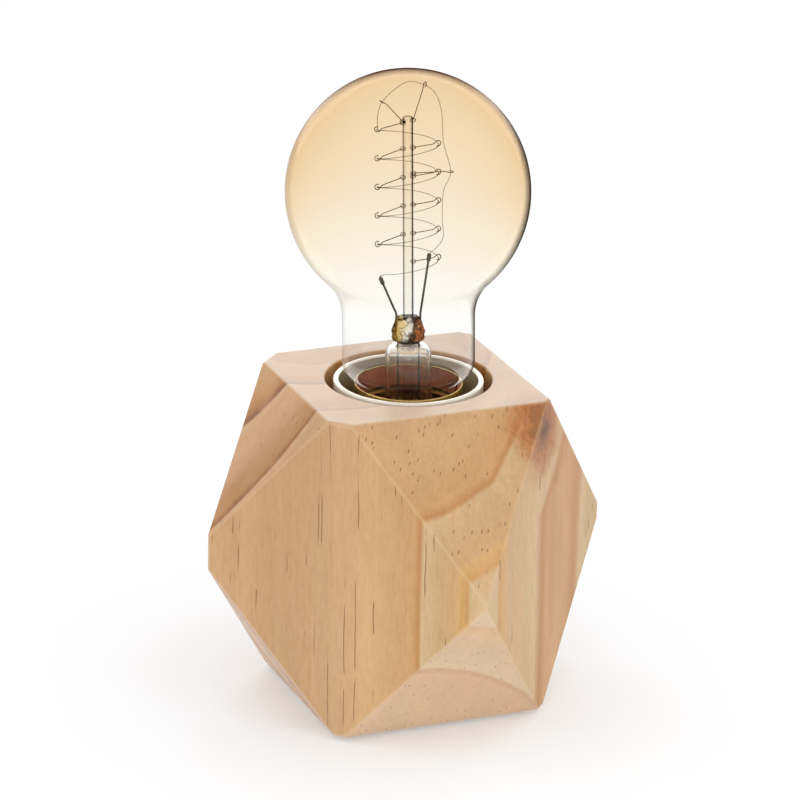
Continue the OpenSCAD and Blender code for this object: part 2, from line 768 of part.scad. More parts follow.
// Outline of the glass from crown to tube, moved in by inset
function glass_side(inset) =
    let (sweep_z = head_z - sqrt(pow(head_r + neck_sweep_r, 2) - pow(neck_r + neck_sweep_r, 2)),
         join_a = atan2(sweep_z - head_z, neck_r + neck_sweep_r),
         shoulder_r = 5, shoulder_z = 6, shoulder_end = -78)
    concat(
        [[0, head_z + head_r - inset]],
        arc([0, head_z], head_r - inset, 88, join_a, 30),
        arc([neck_r + neck_sweep_r, sweep_z], neck_sweep_r + inset, join_a + 180, 180, 8),
        arc([neck_r - shoulder_r, shoulder_z], shoulder_r - inset, 0, shoulder_end, 8),
        [[12.4 - inset, 0], [tube_in_cap_r - inset, -5], [tube_in_cap_r - inset, flare_z]]
    );

module bulb_glass() {
    color(amber_glass) in_glass() rotate_extrude() polygon(concat(glass_side(0), backwards(glass_side(glass_t))));
}

module stem_flare() {
    foot = flare_z - flange_glass_t;
    land = tube_in_cap_r - 1;
    sweep = land - stem_r;
    dome = 2.9;
    color(clear_glass) in_stem() difference() {
        rotate_extrude() polygon(concat(
            [[tube_in_cap_r, foot], [tube_in_cap_r, flare_z]],
            arc([land, flare_z + sweep], sweep, 270, 180, 6),
            arc([stem_r - dome, pinch_z - dome], dome, 0, 90, 6),
            [[0, pinch_z], [0, pinch_z - stem_wall]],
            arc([stem_r - dome, pinch_z - dome], dome - stem_wall, 90, 0, 6),
            arc([land, flare_z + sweep], sweep + stem_wall, 180, 250, 6),
            [[land - 0.6, foot]]
        ));
        for (x = [-lead_in_x + 0.4, lead_in_x - 0.4]) translate([x, 0, 0])
            cylinder(d = cap_wire_d + wire_fit, h = pinch_z + over);
        translate([0, exhaust_y + 1.1, 0]) cylinder(d = 0.6, h = pinch_z + over);
    }
}

module exhaust_tube() {
    tip = flare_z - 3;
    top = pinch_z - stem_wall;
    color(clear_glass) in_stem() translate([0, exhaust_y, tip]) difference() {
        union() {
            cylinder(r = exhaust_r, h = top - tip);
            sphere(r = exhaust_r);
        }
        cylinder(r = exhaust_r - 0.4, h = top - tip + over);
    }
}

module pinch_outline() {
    r = pinch_t / 2;
    union() {
        square([pinch_w - pinch_t, pinch_t], center = true);
        for (s = [-1, 1]) translate([s * (pinch_w / 2 - r), 0]) circle(r = r);
    }
}

module stem_pinch() {
    color([0.85, 0.6, 0.3, 0.6]) in_stem() difference() {
        translate([0, 0, pinch_z]) linear_extrude(pinch_h) pinch_outline();
        for (x = [-lead_in_x, lead_in_x]) {
            translate([x, 0, pinch_z + 2]) cylinder(d = lead_in_d + wire_fit, h = pinch_h);
            translate([sign(x) * (lead_in_x - 0.4), 0, pinch_z - over]) cylinder(d = cap_wire_d + wire_fit, h = over + 2);
        }
        translate([0, 0, pinch_z + pinch_h - 1]) cylinder(d = rod_d + fit, h = 1 + over);
    }
}

// ---------------------------------------------------------------- hooks and filament

// Level of a hook on the left or right of the rod; turn counts down from the top
function left_level(turn) = coil_top - turn_drop * turn;
function right_level(turn) = coil_top - back_drop - turn_drop * turn;
turns = floor(filament_turns);

// Each hook: where its wire leaves the rod, its loop's middle, and the direction of the filament through it
HOOKS = concat(
    [for (n = [0:turns]) [polar(root_x, 180, right_level(n - 1) - 0.3 + (n == 0 ? back_drop - turn_drop + 1.2 : 0)),
                          [-hook_reach, 0, left_level(n)], n == 0 ? unit([0, 1, -1]) : [0, 1, 0]]],
    [for (n = [0:turns]) [polar(root_x, 0, right_level(n) - 0.3), [hook_reach, 0, right_level(n)], [0, 1, 0]]],
    [[polar(root_x, 180, rod_top - 1.2), arc_left, unit([0.5, 0, 0.8])],
     [polar(root_x, 0, rod_top - 1.2), arc_right, unit([0.9, 0, -0.4])],
     [polar(root_x, return_turn, return_hook[1] - 1), polar(return_hook[0], return_turn, return_hook[1]), [0, 0, 1]]]
);

function hook_path(hook) =
    let (root = hook[0], middle = hook[1], axis = hook[2],
         e = square_to(root - middle, axis), f = cross(axis, e))
    concat(
        [root, middle + 2 * hook_r * e],
        [for (a = [40:35:320]) middle + hook_r * (cos(a) * e + sin(a) * f)]
    );

module stem_rod() {
    foot = pinch_z + pinch_h - 1;
    color(clear_glass) in_glass() rotate([0, 0, hook_turn]) difference() {
        union() {
            translate([0, 0, foot]) cylinder(d = rod_d, h = rod_top - foot);
            for (h = HOOKS) {
                out = unit([h[0].x, h[0].y, 0]);
                translate([bead_x * out.x, bead_x * out.y, h[0].z])
                    rotate([0, 0, atan2(-out.y, -out.x)]) sphere(r = bead_r);
            }
        }
        for (h = HOOKS) {
            path = hook_path(h);
            aim = unit(path[1] - path[0]);
            translate(path[0] - 0.1 * aim) rotate([0, acos(aim.z), atan2(aim.y, aim.x)])
                cylinder(d = hook_wire_d + wire_fit, h = 3);
        }
    }
}

module filament_supports() {
    color(wire_grey) in_glass() rotate([0, 0, hook_turn]) for (h = HOOKS) wire(hook_path(h), hook_wire_d, 6);
}

// Angle runs from the top left hook round the back, then the front, and so on down
function coil_level(half) =
    let (turn = floor(half / 2), rest = half - 2 * turn)
    rest < 1 ? left_level(turn) - back_drop * rest : right_level(turn) - front_drop * (rest - 1);
function coil_point(half) = [
    -hook_reach * cos(180 * half), filament_waist * sin(180 * half), coil_level(half)
];

HALF_TURNS = 2 * filament_turns;
COIL_STEPS = 12;
COIL = [for (i = [1:HALF_TURNS * COIL_STEPS]) coil_point(i / COIL_STEPS)];
LAST_SWEEP = [
    for (i = [2:2:COIL_STEPS - 2])
        let (p = coil_point(HALF_TURNS + i / COIL_STEPS)) mixed(p, [p.x, p.y, live_blob.z + 1.4], i / COIL_STEPS)
];
RETURN_LEG = curve([
    arc_right, [0.86 * hook_reach, -0.16 * hook_reach, arc_right.z - 2.2],
    polar(return_r - 0.4, return_turn, arc_right.z - 6), polar(return_r, return_turn, return_hook[1] + 7.5),
    polar(return_hook[0], return_turn, return_hook[1]), polar(return_r, return_turn, return_hook[1] - 5),
    polar(return_r - 0.3, return_turn, (return_hook[1] + neutral_blob.z) / 2 - 1),
    polar(return_r - 0.2, return_turn + 3, neutral_blob.z + 4.6),
    neutral_blob + [1.3, -1.1, 1.6], neutral_blob + [0.15, -0.05, 0.2]
], 5);
OVER_THE_TOP = curve([
    [-hook_reach, 0, left_level(0)], [-0.99 * hook_reach, 0, left_level(0) + 3.4], arc_left,
    mixed(arc_left, arc_top, 0.5) + [0, 0, 0.8], arc_top, arc_right
], 4);
FILAMENT = concat(
    backwards(RETURN_LEG), [for (i = [len(OVER_THE_TOP) - 2:-1:0]) OVER_THE_TOP[i]], COIL, LAST_SWEEP,
    [[-0.94 * hook_reach, -0.05 * hook_reach, live_blob.z + 0.7], live_blob + [-0.03, -0.1, 0.15]]
);
echo(filament_length = len(FILAMENT), least_gap_to_itself = least_gap(FILAMENT, 5) - filament_d);

module filament() {
    color(wire_grey) in_glass() rotate([0, 0, hook_turn]) wire(FILAMENT, filament_d, filament_sides);
}

// A stout wire from the pinch up to the end of the filament, with a clamp at its tip
module lead_in(x, blob) {
    top = turned(blob, hook_turn - stem_turn);
    foot = [x, 0, pinch_z + 2.2];
    bend = [x, 0, pinch_z + pinch_h + 0.6];
    aim = unit(top - bend);
    path = [foot, bend, top - blob_l * aim, top - (blob_l - 0.3) * aim, top - 0.2 * aim, top];
    thin = lead_in_d / 2;
    thick = blob_d / 2;
    color(steel) in_stem() swept(path, [thin, thin, thin, thick, thick, thin], 8);
}

module live_lead_in() {
    lead_in(-lead_in_x, live_blob);
}

module neutral_lead_in() {
    lead_in(lead_in_x, neutral_blob);
}

module live_cap_wire() {
    x = -lead_in_x + 0.4;
    hole_z = -cap_l + 7.6;
    color(brass) in_stem() wire([
        [x, 0, pinch_z + 1.9], [x, 0, pinch_z - 4], [x, 0, flare_z + 2], [0.9 * x, -0.3, flare_z - 4],
        [0.2 * x, -0.1, hole_z + 0.7], [0, 0, hole_z], [0, 0, -cap_l + 3.8]
    ], cap_wire_d, 8);
}

module neutral_cap_wire() {
    x = lead_in_x - 0.4;
    wall = cap_thread_d / 2 - thread_amp - 0.4 - 0.9;
    color(brass) in_stem() wire([
        [x, 0, pinch_z + 1.9], [x, 0, pinch_z - 4], [x, 0, flare_z + 2], [x + 1, 0, flare_z - 1.6],
        [x + 4, 0, flare_z - 2.8], [wall, 0, flare_z - 3]
    ], cap_wire_d, 8);
}

wood_block();
cord_bush();
base_plate();
base_plate_screws();
feet();
holder_bracket();
bracket_screws();
mounting_nipple();
nipple_washer();
nipple_lock_washer();
nipple_nut();
holder_base();
holder_sleeve();
holder_screws();
screw_shell();
shell_rivet();
contact_foot();
centre_contact();
contact_screw();
live_terminal();
neutral_terminal();
terminal_screws();
live_lead();
neutral_lead();
connector_body();
connector_sleeves();
connector_screws();
connector_fixing_screw();
bulb_cap();
cap_insulator();
cap_contact();
contact_solder();
cap_cement();
bulb_glass();
stem_flare();
exhaust_tube();
stem_pinch();
stem_rod();
live_cap_wire();
neutral_cap_wire();
live_lead_in();
neutral_lead_in();
filament_supports();
filament();
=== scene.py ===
import math

import bmesh
import bpy
from mathutils import Matrix, Vector


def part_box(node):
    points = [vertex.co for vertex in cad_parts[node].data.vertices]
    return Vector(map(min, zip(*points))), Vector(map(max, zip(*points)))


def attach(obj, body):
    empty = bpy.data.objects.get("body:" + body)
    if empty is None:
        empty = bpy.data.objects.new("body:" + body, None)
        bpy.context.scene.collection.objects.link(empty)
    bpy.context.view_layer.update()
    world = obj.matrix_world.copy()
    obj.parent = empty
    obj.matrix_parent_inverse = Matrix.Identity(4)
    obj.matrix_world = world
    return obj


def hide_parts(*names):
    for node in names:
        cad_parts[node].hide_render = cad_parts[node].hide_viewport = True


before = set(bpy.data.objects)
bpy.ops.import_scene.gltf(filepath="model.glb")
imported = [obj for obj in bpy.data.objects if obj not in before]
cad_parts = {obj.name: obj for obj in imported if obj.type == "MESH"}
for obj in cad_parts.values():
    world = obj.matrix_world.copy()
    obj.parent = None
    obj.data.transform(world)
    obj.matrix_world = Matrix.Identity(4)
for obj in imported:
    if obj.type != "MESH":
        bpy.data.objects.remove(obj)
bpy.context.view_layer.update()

MM = 0.001

# ---------------- sizes in millimetres, as in the part's source

BLOCK_W = 75.0
BLOCK_H = 83.0
FOOT_T = 1.2
WOOD_TOP = FOOT_T + BLOCK_H
EDGE_ROUND = 1.1
BORE_R = 20.8
SHORT_CUT = 1.3
# How far the cut of each corner stays short of a full cut
CORNER_CUTS = {
    (-1, -1, 1): 3.0,
    (1, -1, 1): 0.35 * SHORT_CUT,
    (1, 1, 1): 0.4 * SHORT_CUT,
    (-1, 1, 1): 0.75 * SHORT_CUT,
    (-1, -1, -1): SHORT_CUT,
    (1, -1, -1): 0.0,
    (1, 1, -1): 0.95 * SHORT_CUT,
    (-1, 1, -1): 0.0,
}

PLATE_Z = 1.5
PLATE_TOP = 3.0
PLATE_R = 22.5
PLATE_SCREW_R = 20.75
CAVITY_R = 19.0
CAVITY_TOP = 26.5
SEAT_Z = 35.5
NIPPLE_HOLE_R = 5.2
BUSH_Z = 14.2
FOOT_RING_R = 26.6
FOOT_R = 3.5
PILOT_R = 1.25
COUNTERSINK_R = 2.25
PLATE_SCREW_TURNS = (30, 150, 270)
BUSH_BORE_R = 3.3
BUSH_R = 4.3
BUSH_FLANGE_R = 6.0
BUSH_FLANGE_T = 1.2
BUSH_START = 18.0

RIM_Z = 84.0
SLEEVE_Z = 52.0
MOUTH_DEPTH = 8.0
SLEEVE_R = 18.8
SLEEVE_MOUTH_R = 17.3
SHELL_MID_R = 13.1
SHELL_TOP = 75.5
THREAD_DEPTH = 0.55
THREAD_PITCH = 3.629

CAP_RIM_Z = 82.9
CAP_LENGTH = 26.5
CAP_END_Z = CAP_RIM_Z - CAP_LENGTH
CAP_MID_R = 12.7
SKIRT_R = 13.6

# The leads are stripped above this height and further out than this at the terminals
TERMINAL_STRIP = (41.7, 2.9)
# At the connector they are stripped past this Y and below this height
CONNECTOR_STRIP = (-9.1, 10.5)

# Glass levels are counted from the cap's rim
HEAD_R = 30.25
HEAD_Z = 49.75
NECK_R = 16.5
NECK_SWEEP_R = 14.0
GLASS_T = 0.8
FLARE_Z = -12.0
TUBE_R = 11.3
STEM_R = 5.7
PINCH_Z = 10.3
PINCH_H = 7.2
PINCH_W = 9.0
PINCH_T = 3.6
ROD_R = 1.3
ROD_TOP = HEAD_Z + 19.3
LEAN = math.radians(1.2)
STEM_TURN = math.radians(23)
HOOK_TURN = math.radians(45)

# Filament
HOOK_REACH = 8.0
WAIST = 3.8
TURNS = 4
COIL_TOP = HEAD_Z + 16.8
COIL_BOTTOM = PINCH_Z + 21.5
BACK_DROP = 5.4
TURN_DROP = (COIL_TOP - COIL_BOTTOM - BACK_DROP) / TURNS
FRONT_DROP = TURN_DROP - BACK_DROP
HOOK_R = 0.7
HOOK_WIRE_R = 0.15

# ---------------- camera, fitted to the photo, and small helpers

AZIMUTH = math.radians(22.838)
ELEVATION = math.radians(20.284)
ROLL = math.radians(1.109)
DISTANCE = 1218.75
AIM_Z = 42.7
PAN = (1.359, -33.246)
FOCAL = 4846.465 / 800 * 36

TOWARD_CAMERA = Vector((
    math.sin(AZIMUTH) * math.cos(ELEVATION),
    -math.cos(AZIMUTH) * math.cos(ELEVATION),
    math.sin(ELEVATION),
))
TO_RIGHT = Vector((math.cos(AZIMUTH), math.sin(AZIMUTH), 0))
BEHIND = Vector((-math.sin(AZIMUTH), math.cos(AZIMUTH), 0))


def linked(name, data):
    """New object, put in the scene."""
    obj = bpy.data.objects.new(name, data)
    bpy.context.scene.collection.objects.link(obj)
    return obj


def applied(obj):
    """Mesh of an object with its modifiers applied."""
    depsgraph = bpy.context.evaluated_depsgraph_get()
    return bpy.data.meshes.new_from_object(obj.evaluated_get(depsgraph))


def smooth(mesh, degrees):
    """Smooth shading, but for edges sharper than this."""
    mesh.shade_smooth()
    mesh.set_sharp_from_angle(angle=math.radians(degrees))


def place_camera():
    upright = TOWARD_CAMERA.cross(TO_RIGHT)
    across = math.cos(ROLL) * TO_RIGHT + math.sin(ROLL) * upright
    upward = math.cos(ROLL) * upright - math.sin(ROLL) * TO_RIGHT
    spot = Vector((0, 0, AIM_Z)) - PAN[0] * across - PAN[1] * upward + DISTANCE * TOWARD_CAMERA
    turn = Matrix((across, upward, TOWARD_CAMERA)).transposed().to_4x4()
    lens = bpy.data.cameras.new("photo_camera")
    lens.sensor_fit = "HORIZONTAL"
    lens.sensor_width = 36
    lens.lens = FOCAL
    lens.clip_start = 0.05
    lens.clip_end = 50
    camera = linked("photo_camera", lens)
    camera.matrix_world = Matrix.Translation(spot * MM) @ turn
    bpy.context.scene.camera = camera


place_camera()

# ---------------- node graphs


class Graph:
    """Adds nodes to a tree; inputs are given by name or number, as values or as other sockets."""

    def __init__(self, tree):
        self.tree = tree

    def put(self, kind, inputs=None, **settings):
        node = self.tree.nodes.new(kind)
        for name, value in settings.items():
            setattr(node, name, value)
        for key, value in (inputs or {}).items():
            self.give(node.inputs[key], value)
        return node.outputs

    def give(self, socket, value):
        if isinstance(value, bpy.types.NodeSocket):
            self.tree.links.new(value, socket)
        else:
            socket.default_value = value

    def math(self, operation, *values, clamp=False):
        node = self.tree.nodes.new("ShaderNodeMath")
        node.operation = operation
        node.use_clamp = clamp
        for socket, value in zip(node.inputs, values):
            self.give(socket, value)
        return node.outputs[0]

    def plus(self, *values):
        return self.math("ADD", *values)

    def minus(self, *values):
        return self.math("SUBTRACT", *values)

    def times(self, *values, clamp=False):
        return self.math("MULTIPLY", *values, clamp=clamp)

    def over(self, *values):
        return self.math("DIVIDE", *values)

    def vector(self, operation, *values, out=0):
        node = self.tree.nodes.new("ShaderNodeVectorMath")
        node.operation = operation
        for socket, value in zip(node.inputs, values):
            self.give(socket, value)
        return node.outputs[out]

    def length(self, vector):
        return self.vector("LENGTH", vector, out=1)

    def stretched(self, vector, factor):
        result = self.vector("SCALE", vector)
        self.give(result.node.inputs["Scale"], factor)
        return result

    def parts(self, vector):
        return self.put("ShaderNodeSeparateXYZ", {0: vector})

    def joined(self, x=0.0, y=0.0, z=0.0):
        return self.put("ShaderNodeCombineXYZ", {0: x, 1: y, 2: z})[0]


class Shape(Graph):
    """A geometry node tree with named sizes. Its input is Base and its output Piece."""

    def __init__(self, name, **sizes):
        super().__init__(bpy.data.node_groups.new(name, "GeometryNodeTree"))
        face = self.tree.interface
        face.new_socket("Base", in_out="INPUT", socket_type="NodeSocketGeometry")
        for label, value in sizes.items():
            kind = "NodeSocketInt" if isinstance(value, int) else "NodeSocketFloat"
            socket = face.new_socket(label.replace("_", " "), in_out="INPUT", socket_type=kind)
            socket.default_value = value
        face.new_socket("Finish", in_out="INPUT", socket_type="NodeSocketMaterial")
        face.new_socket("Piece", in_out="OUTPUT", socket_type="NodeSocketGeometry")
        self.given = self.put("NodeGroupInput")

    def size(self, label):
        return self.given[label.replace("_", " ")]

    def done(self, geometry):
        whole = self.put("GeometryNodeRealizeInstances", {"Geometry": geometry})[0]
        finished = self.put("GeometryNodeSetMaterial", {"Geometry": whole, "Material": self.given["Finish"]})
        self.put("NodeGroupOutput", {"Piece": finished[0]})

    def grow(self, base, finish, **sizes):
        """Plain mesh that the tree makes from a base mesh, with its sizes in metres."""
        holder = linked("base_of_shape", base)
        modifier = holder.modifiers.new("shape", "NODES")
        modifier.node_group = self.tree
        for item in self.tree.interface.items_tree:
            if item.item_type != "SOCKET" or item.in_out != "INPUT":
                continue
            label = item.name.replace(" ", "_")
            if label in sizes:
                modifier[item.identifier] = sizes[label]
            if label == "Finish":
                modifier[item.identifier] = finish
        mesh = applied(holder)
        bpy.data.objects.remove(holder)
        return mesh


class Finish(Graph):
    """A material built from Object coordinates."""

    def __init__(self, name):
        self.material = bpy.data.materials.new(name)
        self.material.use_nodes = True
        super().__init__(self.material.node_tree)
        self.tree.nodes.clear()
        self.place = self.put("ShaderNodeTexCoord")["Object"]

    def noise(self, scale, stretch=(1, 1, 1), detail=2.0, roughness=0.5, offset=(0, 0, 0)):
        moves = {"Vector": self.place, "Scale": stretch, "Location": offset}
        spread = self.put("ShaderNodeMapping", moves)[0]
        settings = {"Vector": spread, "Scale": scale, "Detail": detail, "Roughness": roughness}
        return self.put("ShaderNodeTexNoise", settings)[0]

    def noise_at(self, vector, detail):
        return self.put("ShaderNodeTexNoise", {"Vector": vector, "Scale": 1.0, "Detail": detail})

    def normal(self):
        return self.put("ShaderNodeNewGeometry")["Normal"]

    def facing(self):
        return self.put("ShaderNodeLayerWeight", {"Blend": 0.5})["Facing"]

    def ramp(self, value, stops, smooth=False):
        node = self.tree.nodes.new("ShaderNodeValToRGB")
        node.color_ramp.interpolation = "EASE" if smooth else "LINEAR"
        points = node.color_ramp.elements
        while len(points) < len(stops):
            points.new(1.0)
        for point, (position, colour) in zip(points, stops):
            point.position = position
            point.color = colour if hasattr(colour, "__len__") else (colour, colour, colour, 1)
        self.give(node.inputs[0], value)
        return node.outputs[0]

    def between(self, value, low, high, out_low=0.0, out_high=1.0):
        return self.put("ShaderNodeMapRange", {0: value, 1: low, 2: high, 3: out_low, 4: out_high})[0]

    def mix(self, factor, a, b):
        node = self.tree.nodes.new("ShaderNodeMix")
        node.data_type = "RGBA"
        self.give(node.inputs[0], factor)
        self.give(node.inputs[6], a)
        self.give(node.inputs[7], b)
        return node.outputs[2]

    def washed(self, tone, washes):
        """The tone under washes: what each follows, from where to where, its most cover and its colour."""
        for value, low, high, most, colour in washes:
            tone = self.mix(self.between(value, low, high, 0.0, most), tone, paint(*colour))
        return tone

    def bump(self, height, distance, strength):
        return self.put("ShaderNodeBump", {"Height": height, "Distance": distance, "Strength": strength})[0]

    def rightward(self, vector):
        """How far a vector points to the right of the photo."""
        return self.vector("DOT_PRODUCT", vector, tuple(TO_RIGHT), out=1)

    def skin(self, **sockets):
        """Principled shader with sockets named as in Blender, with underscores for spaces."""
        named = {label.replace("_", " "): value for label, value in sockets.items()}
        return self.put("ShaderNodeBsdfPrincipled", named)[0]

    def done(self, shader):
        self.put("ShaderNodeOutputMaterial", {"Surface": shader})
        return self.material


def paint(red, green, blue):
    """Colour as a screen shows it, 0 to 255, turned into the linear values that shaders take."""
    def linear(v):
        v = v / 255
        return v / 12.92 if v <= 0.04045 else ((v + 0.055) / 1.055) ** 2.4
    return (linear(red), linear(green), linear(blue), 1)


# ---------------- wood

PITH = (-31.5, 9.9)
RING_SPAN = 90.0
# Growth rings: distance from the pith and the tone there, each ring ending in its dark late wood
RING_TONES = [
    (0, (196, 150, 106)),
    (13.5, (188, 138, 92)),
    (14, (210, 176, 138)),
    (22, (200, 156, 112)),
    (25.8, (176, 124, 80)),
    (27.6, (112, 66, 34)),
    (28.2, (214, 182, 146)),
    (30.5, (206, 168, 130)),
    (34, (206, 168, 134)),
    (37.5, (200, 160, 124)),
    (40.5, (184, 138, 96)),
    (44.8, (178, 130, 86)),
    (45.6, (150, 100, 58)),
    (46.3, (138, 88, 50)),
    (46.8, (208, 172, 134)),
    (48.6, (197, 160, 124)),
    (56, (205, 171, 134)),
    (61, (211, 176, 134)),
    (67, (204, 164, 123)),
    (68.9, (205, 164, 123)),
    (70.1, (186, 136, 92)),
    (70.6, (212, 184, 146)),
    (74, (205, 175, 136)),
    (77.3, (206, 171, 129)),
    (77.9, (214, 176, 122)),
    (79.9, (202, 158, 104)),
    (80.4, (209, 182, 143)),
    (90, (218, 189, 150)),
]
# How many resin canals show at each distance from the pith
CANALS = [
    (0, 0.1), (40, 0.2), (44, 0.5), (51, 0.25), (53, 1.0), (58, 1.0), (61, 0.7), (66, 0.75),
    (69.5, 0.3), (75, 0.8), (90, 0.2)
]
KNOT = (36.8, -2.6, 77.4)
CANAL_CELLS = (0.78, 0.34)
CANAL_WANDER = 0.0015


def under_varnish(colour):
    """Tone of the bare wood that shows as the given one through the coat's pale sheen."""
    veil = 0.045
    return tuple(max(0.0, (v - veil) / (1 - veil)) for v in paint(*colour)[:3]) + (1,)


def ring_distance(f, knot_reach):
    """Distance from the pith, wavy as the rings are and pushed out round the knot."""
    x, y, _ = f.parts(f.place)
    wobble = f.noise(26, stretch=(1, 1, 0.35), detail=2)
    ripple = f.noise(160, stretch=(1, 1, 0.1), detail=3)
    from_pith = f.length(f.joined(f.minus(x, PITH[0] * MM), f.minus(y, PITH[1] * MM)))
    sway = f.times(f.minus(wobble, 0.5), 0.0022)
    jitter = f.times(f.minus(ripple, 0.5), 0.0006)
    knot_pull = f.between(knot_reach, 0.003, 0.018, 0.0035, 0.0)
    return f.plus(f.plus(from_pith, f.plus(sway, jitter)), knot_pull)


def resin_flecks(f, along_rings):
    """Resin canals: upright threads that wander through the faces, so they show as broken dark dashes."""
    z = f.parts(f.place)[2]
    drift = f.noise_at(f.vector("MULTIPLY", f.place, (60, 60, 40)), 3.0)["Color"]
    sideways = (2 * CANAL_WANDER, 2 * CANAL_WANDER, 0.0)
    wander = f.vector("MULTIPLY", f.vector("SUBTRACT", drift, (0.5, 0.5, 0.5)), sideways)
    cell_place = f.vector("MULTIPLY", f.vector("ADD", f.place, wander), (*CANAL_CELLS, 0.0))
    cells = f.put("ShaderNodeTexVoronoi", {"Vector": cell_place, "Scale": 1000.0}, voronoi_dimensions="2D")
    thread = f.between(cells["Distance"], 0.05, 0.16, 1.0, 0.0)
    climb = f.joined(z=f.times(z, 80.0))
    dash = f.noise_at(f.vector("ADD", f.vector("MULTIPLY", cells["Color"], (9.0, 9.0, 9.0)), climb), 1.0)[0]
    many = f.ramp(along_rings, [(r / RING_SPAN, v) for r, v in CANALS])
    rare = f.minus(0.7, f.times(many, 0.24))
    return f.times(thread, f.times(f.minus(dash, rare), 25.0, clamp=True))


def knotted(f, tone, knot_reach):
    """The tone with the knot at the upper right corner in it: a dark core in fine rings and a soft stain."""
    swirl = f.noise(210, detail=3, roughness=0.65)
    edge = f.plus(knot_reach, f.times(f.minus(swirl, 0.5), 0.008))
    rings = f.math("SINE", f.times(edge, 3400.0))
    stain = f.ramp(f.between(edge, 0.0, 0.0125), [(0.0, 1.0), (0.4, 0.85), (1.0, 0.0)], smooth=True)
    knot = f.mix(f.between(rings, -0.6, 1.0, 0.0, 0.42), paint(176, 106, 56), paint(120, 66, 30))
    knot = f.mix(f.between(edge, 0.001, 0.0055, 0.85, 0.0), knot, paint(92, 54, 22))
    return f.mix(stain, tone, knot)


def pine_finish():
    f = Finish("pine_planed")
    to_knot = f.vector("SUBTRACT", f.place, [v * MM for v in KNOT])
    knot_reach = f.length(f.vector("MULTIPLY", to_knot, (1.0, 0.9, 0.8)))
    along_rings = f.over(ring_distance(f, knot_reach), RING_SPAN * MM)
    tone = f.ramp(along_rings, [(r / RING_SPAN, under_varnish(c)) for r, c in RING_TONES])

    fibre = f.noise(1500, stretch=(1, 1, 0.05), detail=3, roughness=0.65)
    bands = f.noise(300, stretch=(1, 1, 0.03), detail=5, roughness=0.7)
    pores = f.noise(900, stretch=(1, 1, 0.3), detail=2, roughness=0.6)
    cloud = f.noise(60, stretch=(1, 1, 0.4), detail=4, roughness=0.6)
    hue = f.noise(120, stretch=(1, 1, 0.1), detail=3, offset=(0.2, 0.4, 0))
    upward = f.parts(f.normal())[2]
    # Painted highlight along the rounded edges, from the attribute that mark_edges sets
    edge_highlight = f.put("ShaderNodeAttribute", attribute_name="sanded_edge")["Fac"]
    flecks = resin_flecks(f, along_rings)
    grain = [
        (fibre, 0.4, 0.8, 0.16, (150, 106, 62)),
        (pores, 0.42, 0.75, 0.22, (156, 110, 66)),
        (bands, 0.55, 0.75, 0.14, (162, 114, 68)),
        (bands, 0.46, 0.3, 0.12, (224, 192, 150)),
        (cloud, 0.48, 0.7, 0.16, (182, 134, 88)),
        (hue, 0.5, 0.3, 0.3, (180, 152, 108)),
        (hue, 0.5, 0.7, 0.3, (222, 172, 130)),
        # A little browner towards the top
        (f.parts(f.place)[2], 0.03, 0.08, 0.2, (176, 124, 78)),
        (flecks, 0.0, 1.0, 0.75, (116, 78, 44)),
    ]
    # Planed end grain is paler; the washes below also paint light onto the wood
    pale = [
        # Faces that look up or down: paler end grain, with a painted sheen of the coat on them
        (f.math("ABSOLUTE", upward), 0.8, 0.97, 0.5, (230, 218, 208)),
        # Painted light from below on the sides that look down
        (upward, -0.2, -0.5, 0.26, (236, 218, 204)),
        # Painted highlight along the rounded edges
        (edge_highlight, 0.0, 1.0, 0.16, (232, 206, 170)),
    ]
    tone = knotted(f, f.washed(tone, grain), knot_reach)
    return f.done(f.skin(
        Base_Color=f.washed(tone, pale), Roughness=f.between(bands, 0.3, 0.7, 0.4, 0.5), Coat_Weight=0.22,
        Coat_Roughness=0.25, Specular_IOR_Level=0.15,
        Normal=f.bump(f.plus(fibre, f.times(flecks, -1.5)), 0.00004, 0.5)
    ))


# ---------------- other finishes


def porcelain_finish():
    f = Finish("glazed_porcelain")
    pool = f.noise(60, detail=2)
    speck = f.between(f.noise(900, detail=1), 0.72, 0.8)
    tone = f.mix(f.between(pool, 0.35, 0.7), paint(243, 238, 226), paint(236, 230, 216))
    tone = f.mix(f.times(speck, 0.25), tone, paint(190, 175, 150))
    # Painted shade inside the mouth, with the brass's reflection painted in: the inner wall turns olive
    # brown, more so further down
    x, y, z = f.parts(f.place)
    inside = f.math("LESS_THAN", f.length(f.joined(x, y)), (SLEEVE_MOUTH_R + 0.05) * MM)
    depth = f.between(z, (RIM_Z - 0.5) * MM, (RIM_Z - MOUTH_DEPTH) * MM, 0.7, 1.0)
    tone = f.mix(f.times(inside, depth), tone, paint(134, 114, 72))
    bump = f.bump(f.noise(240, detail=1), 0.00005, 0.4)
    return f.done(f.skin(
        Base_Color=tone, Roughness=f.between(pool, 0.3, 0.7, 0.12, 0.2), Normal=bump, Coat_Weight=0.6,
        Coat_Roughness=0.06
    ))


def metal_finish(name, light, dark, rough, turned=True, stain=None, stain_inside=0.0):
    """Metal with fine tool marks, turned round Z or rubbed along X, and patches of tarnish."""
    f = Finish(name)
    x, y, z = f.parts(f.place)
    radius = f.length(f.joined(x, y))
    if turned:
        groove = f.joined(f.times(z, 9000.0), radius)
        lines = f.noise_at(groove, 2.0)[0]
    else:
        lines = f.noise(2600, stretch=(0.04, 1, 1), detail=2)
    patches = f.noise(130, detail=4, roughness=0.6)
    tone = f.mix(f.between(patches, 0.38, 0.68), light, dark)
    if stain:
        stained = f.between(radius, stain_inside - 0.0004, stain_inside + 0.0002, 0.85, 0.0)
        tone = f.mix(stained, tone, stain)
    worn = f.between(patches, 0.3, 0.7, rough, rough + 0.16)
    rough_map = f.plus(worn, f.between(lines, 0, 1, -0.04, 0.06))
    bump = f.bump(lines, 0.00002, 0.4)
    return f.done(f.skin(Base_Color=tone, Metallic=1.0, Roughness=rough_map, Normal=bump))


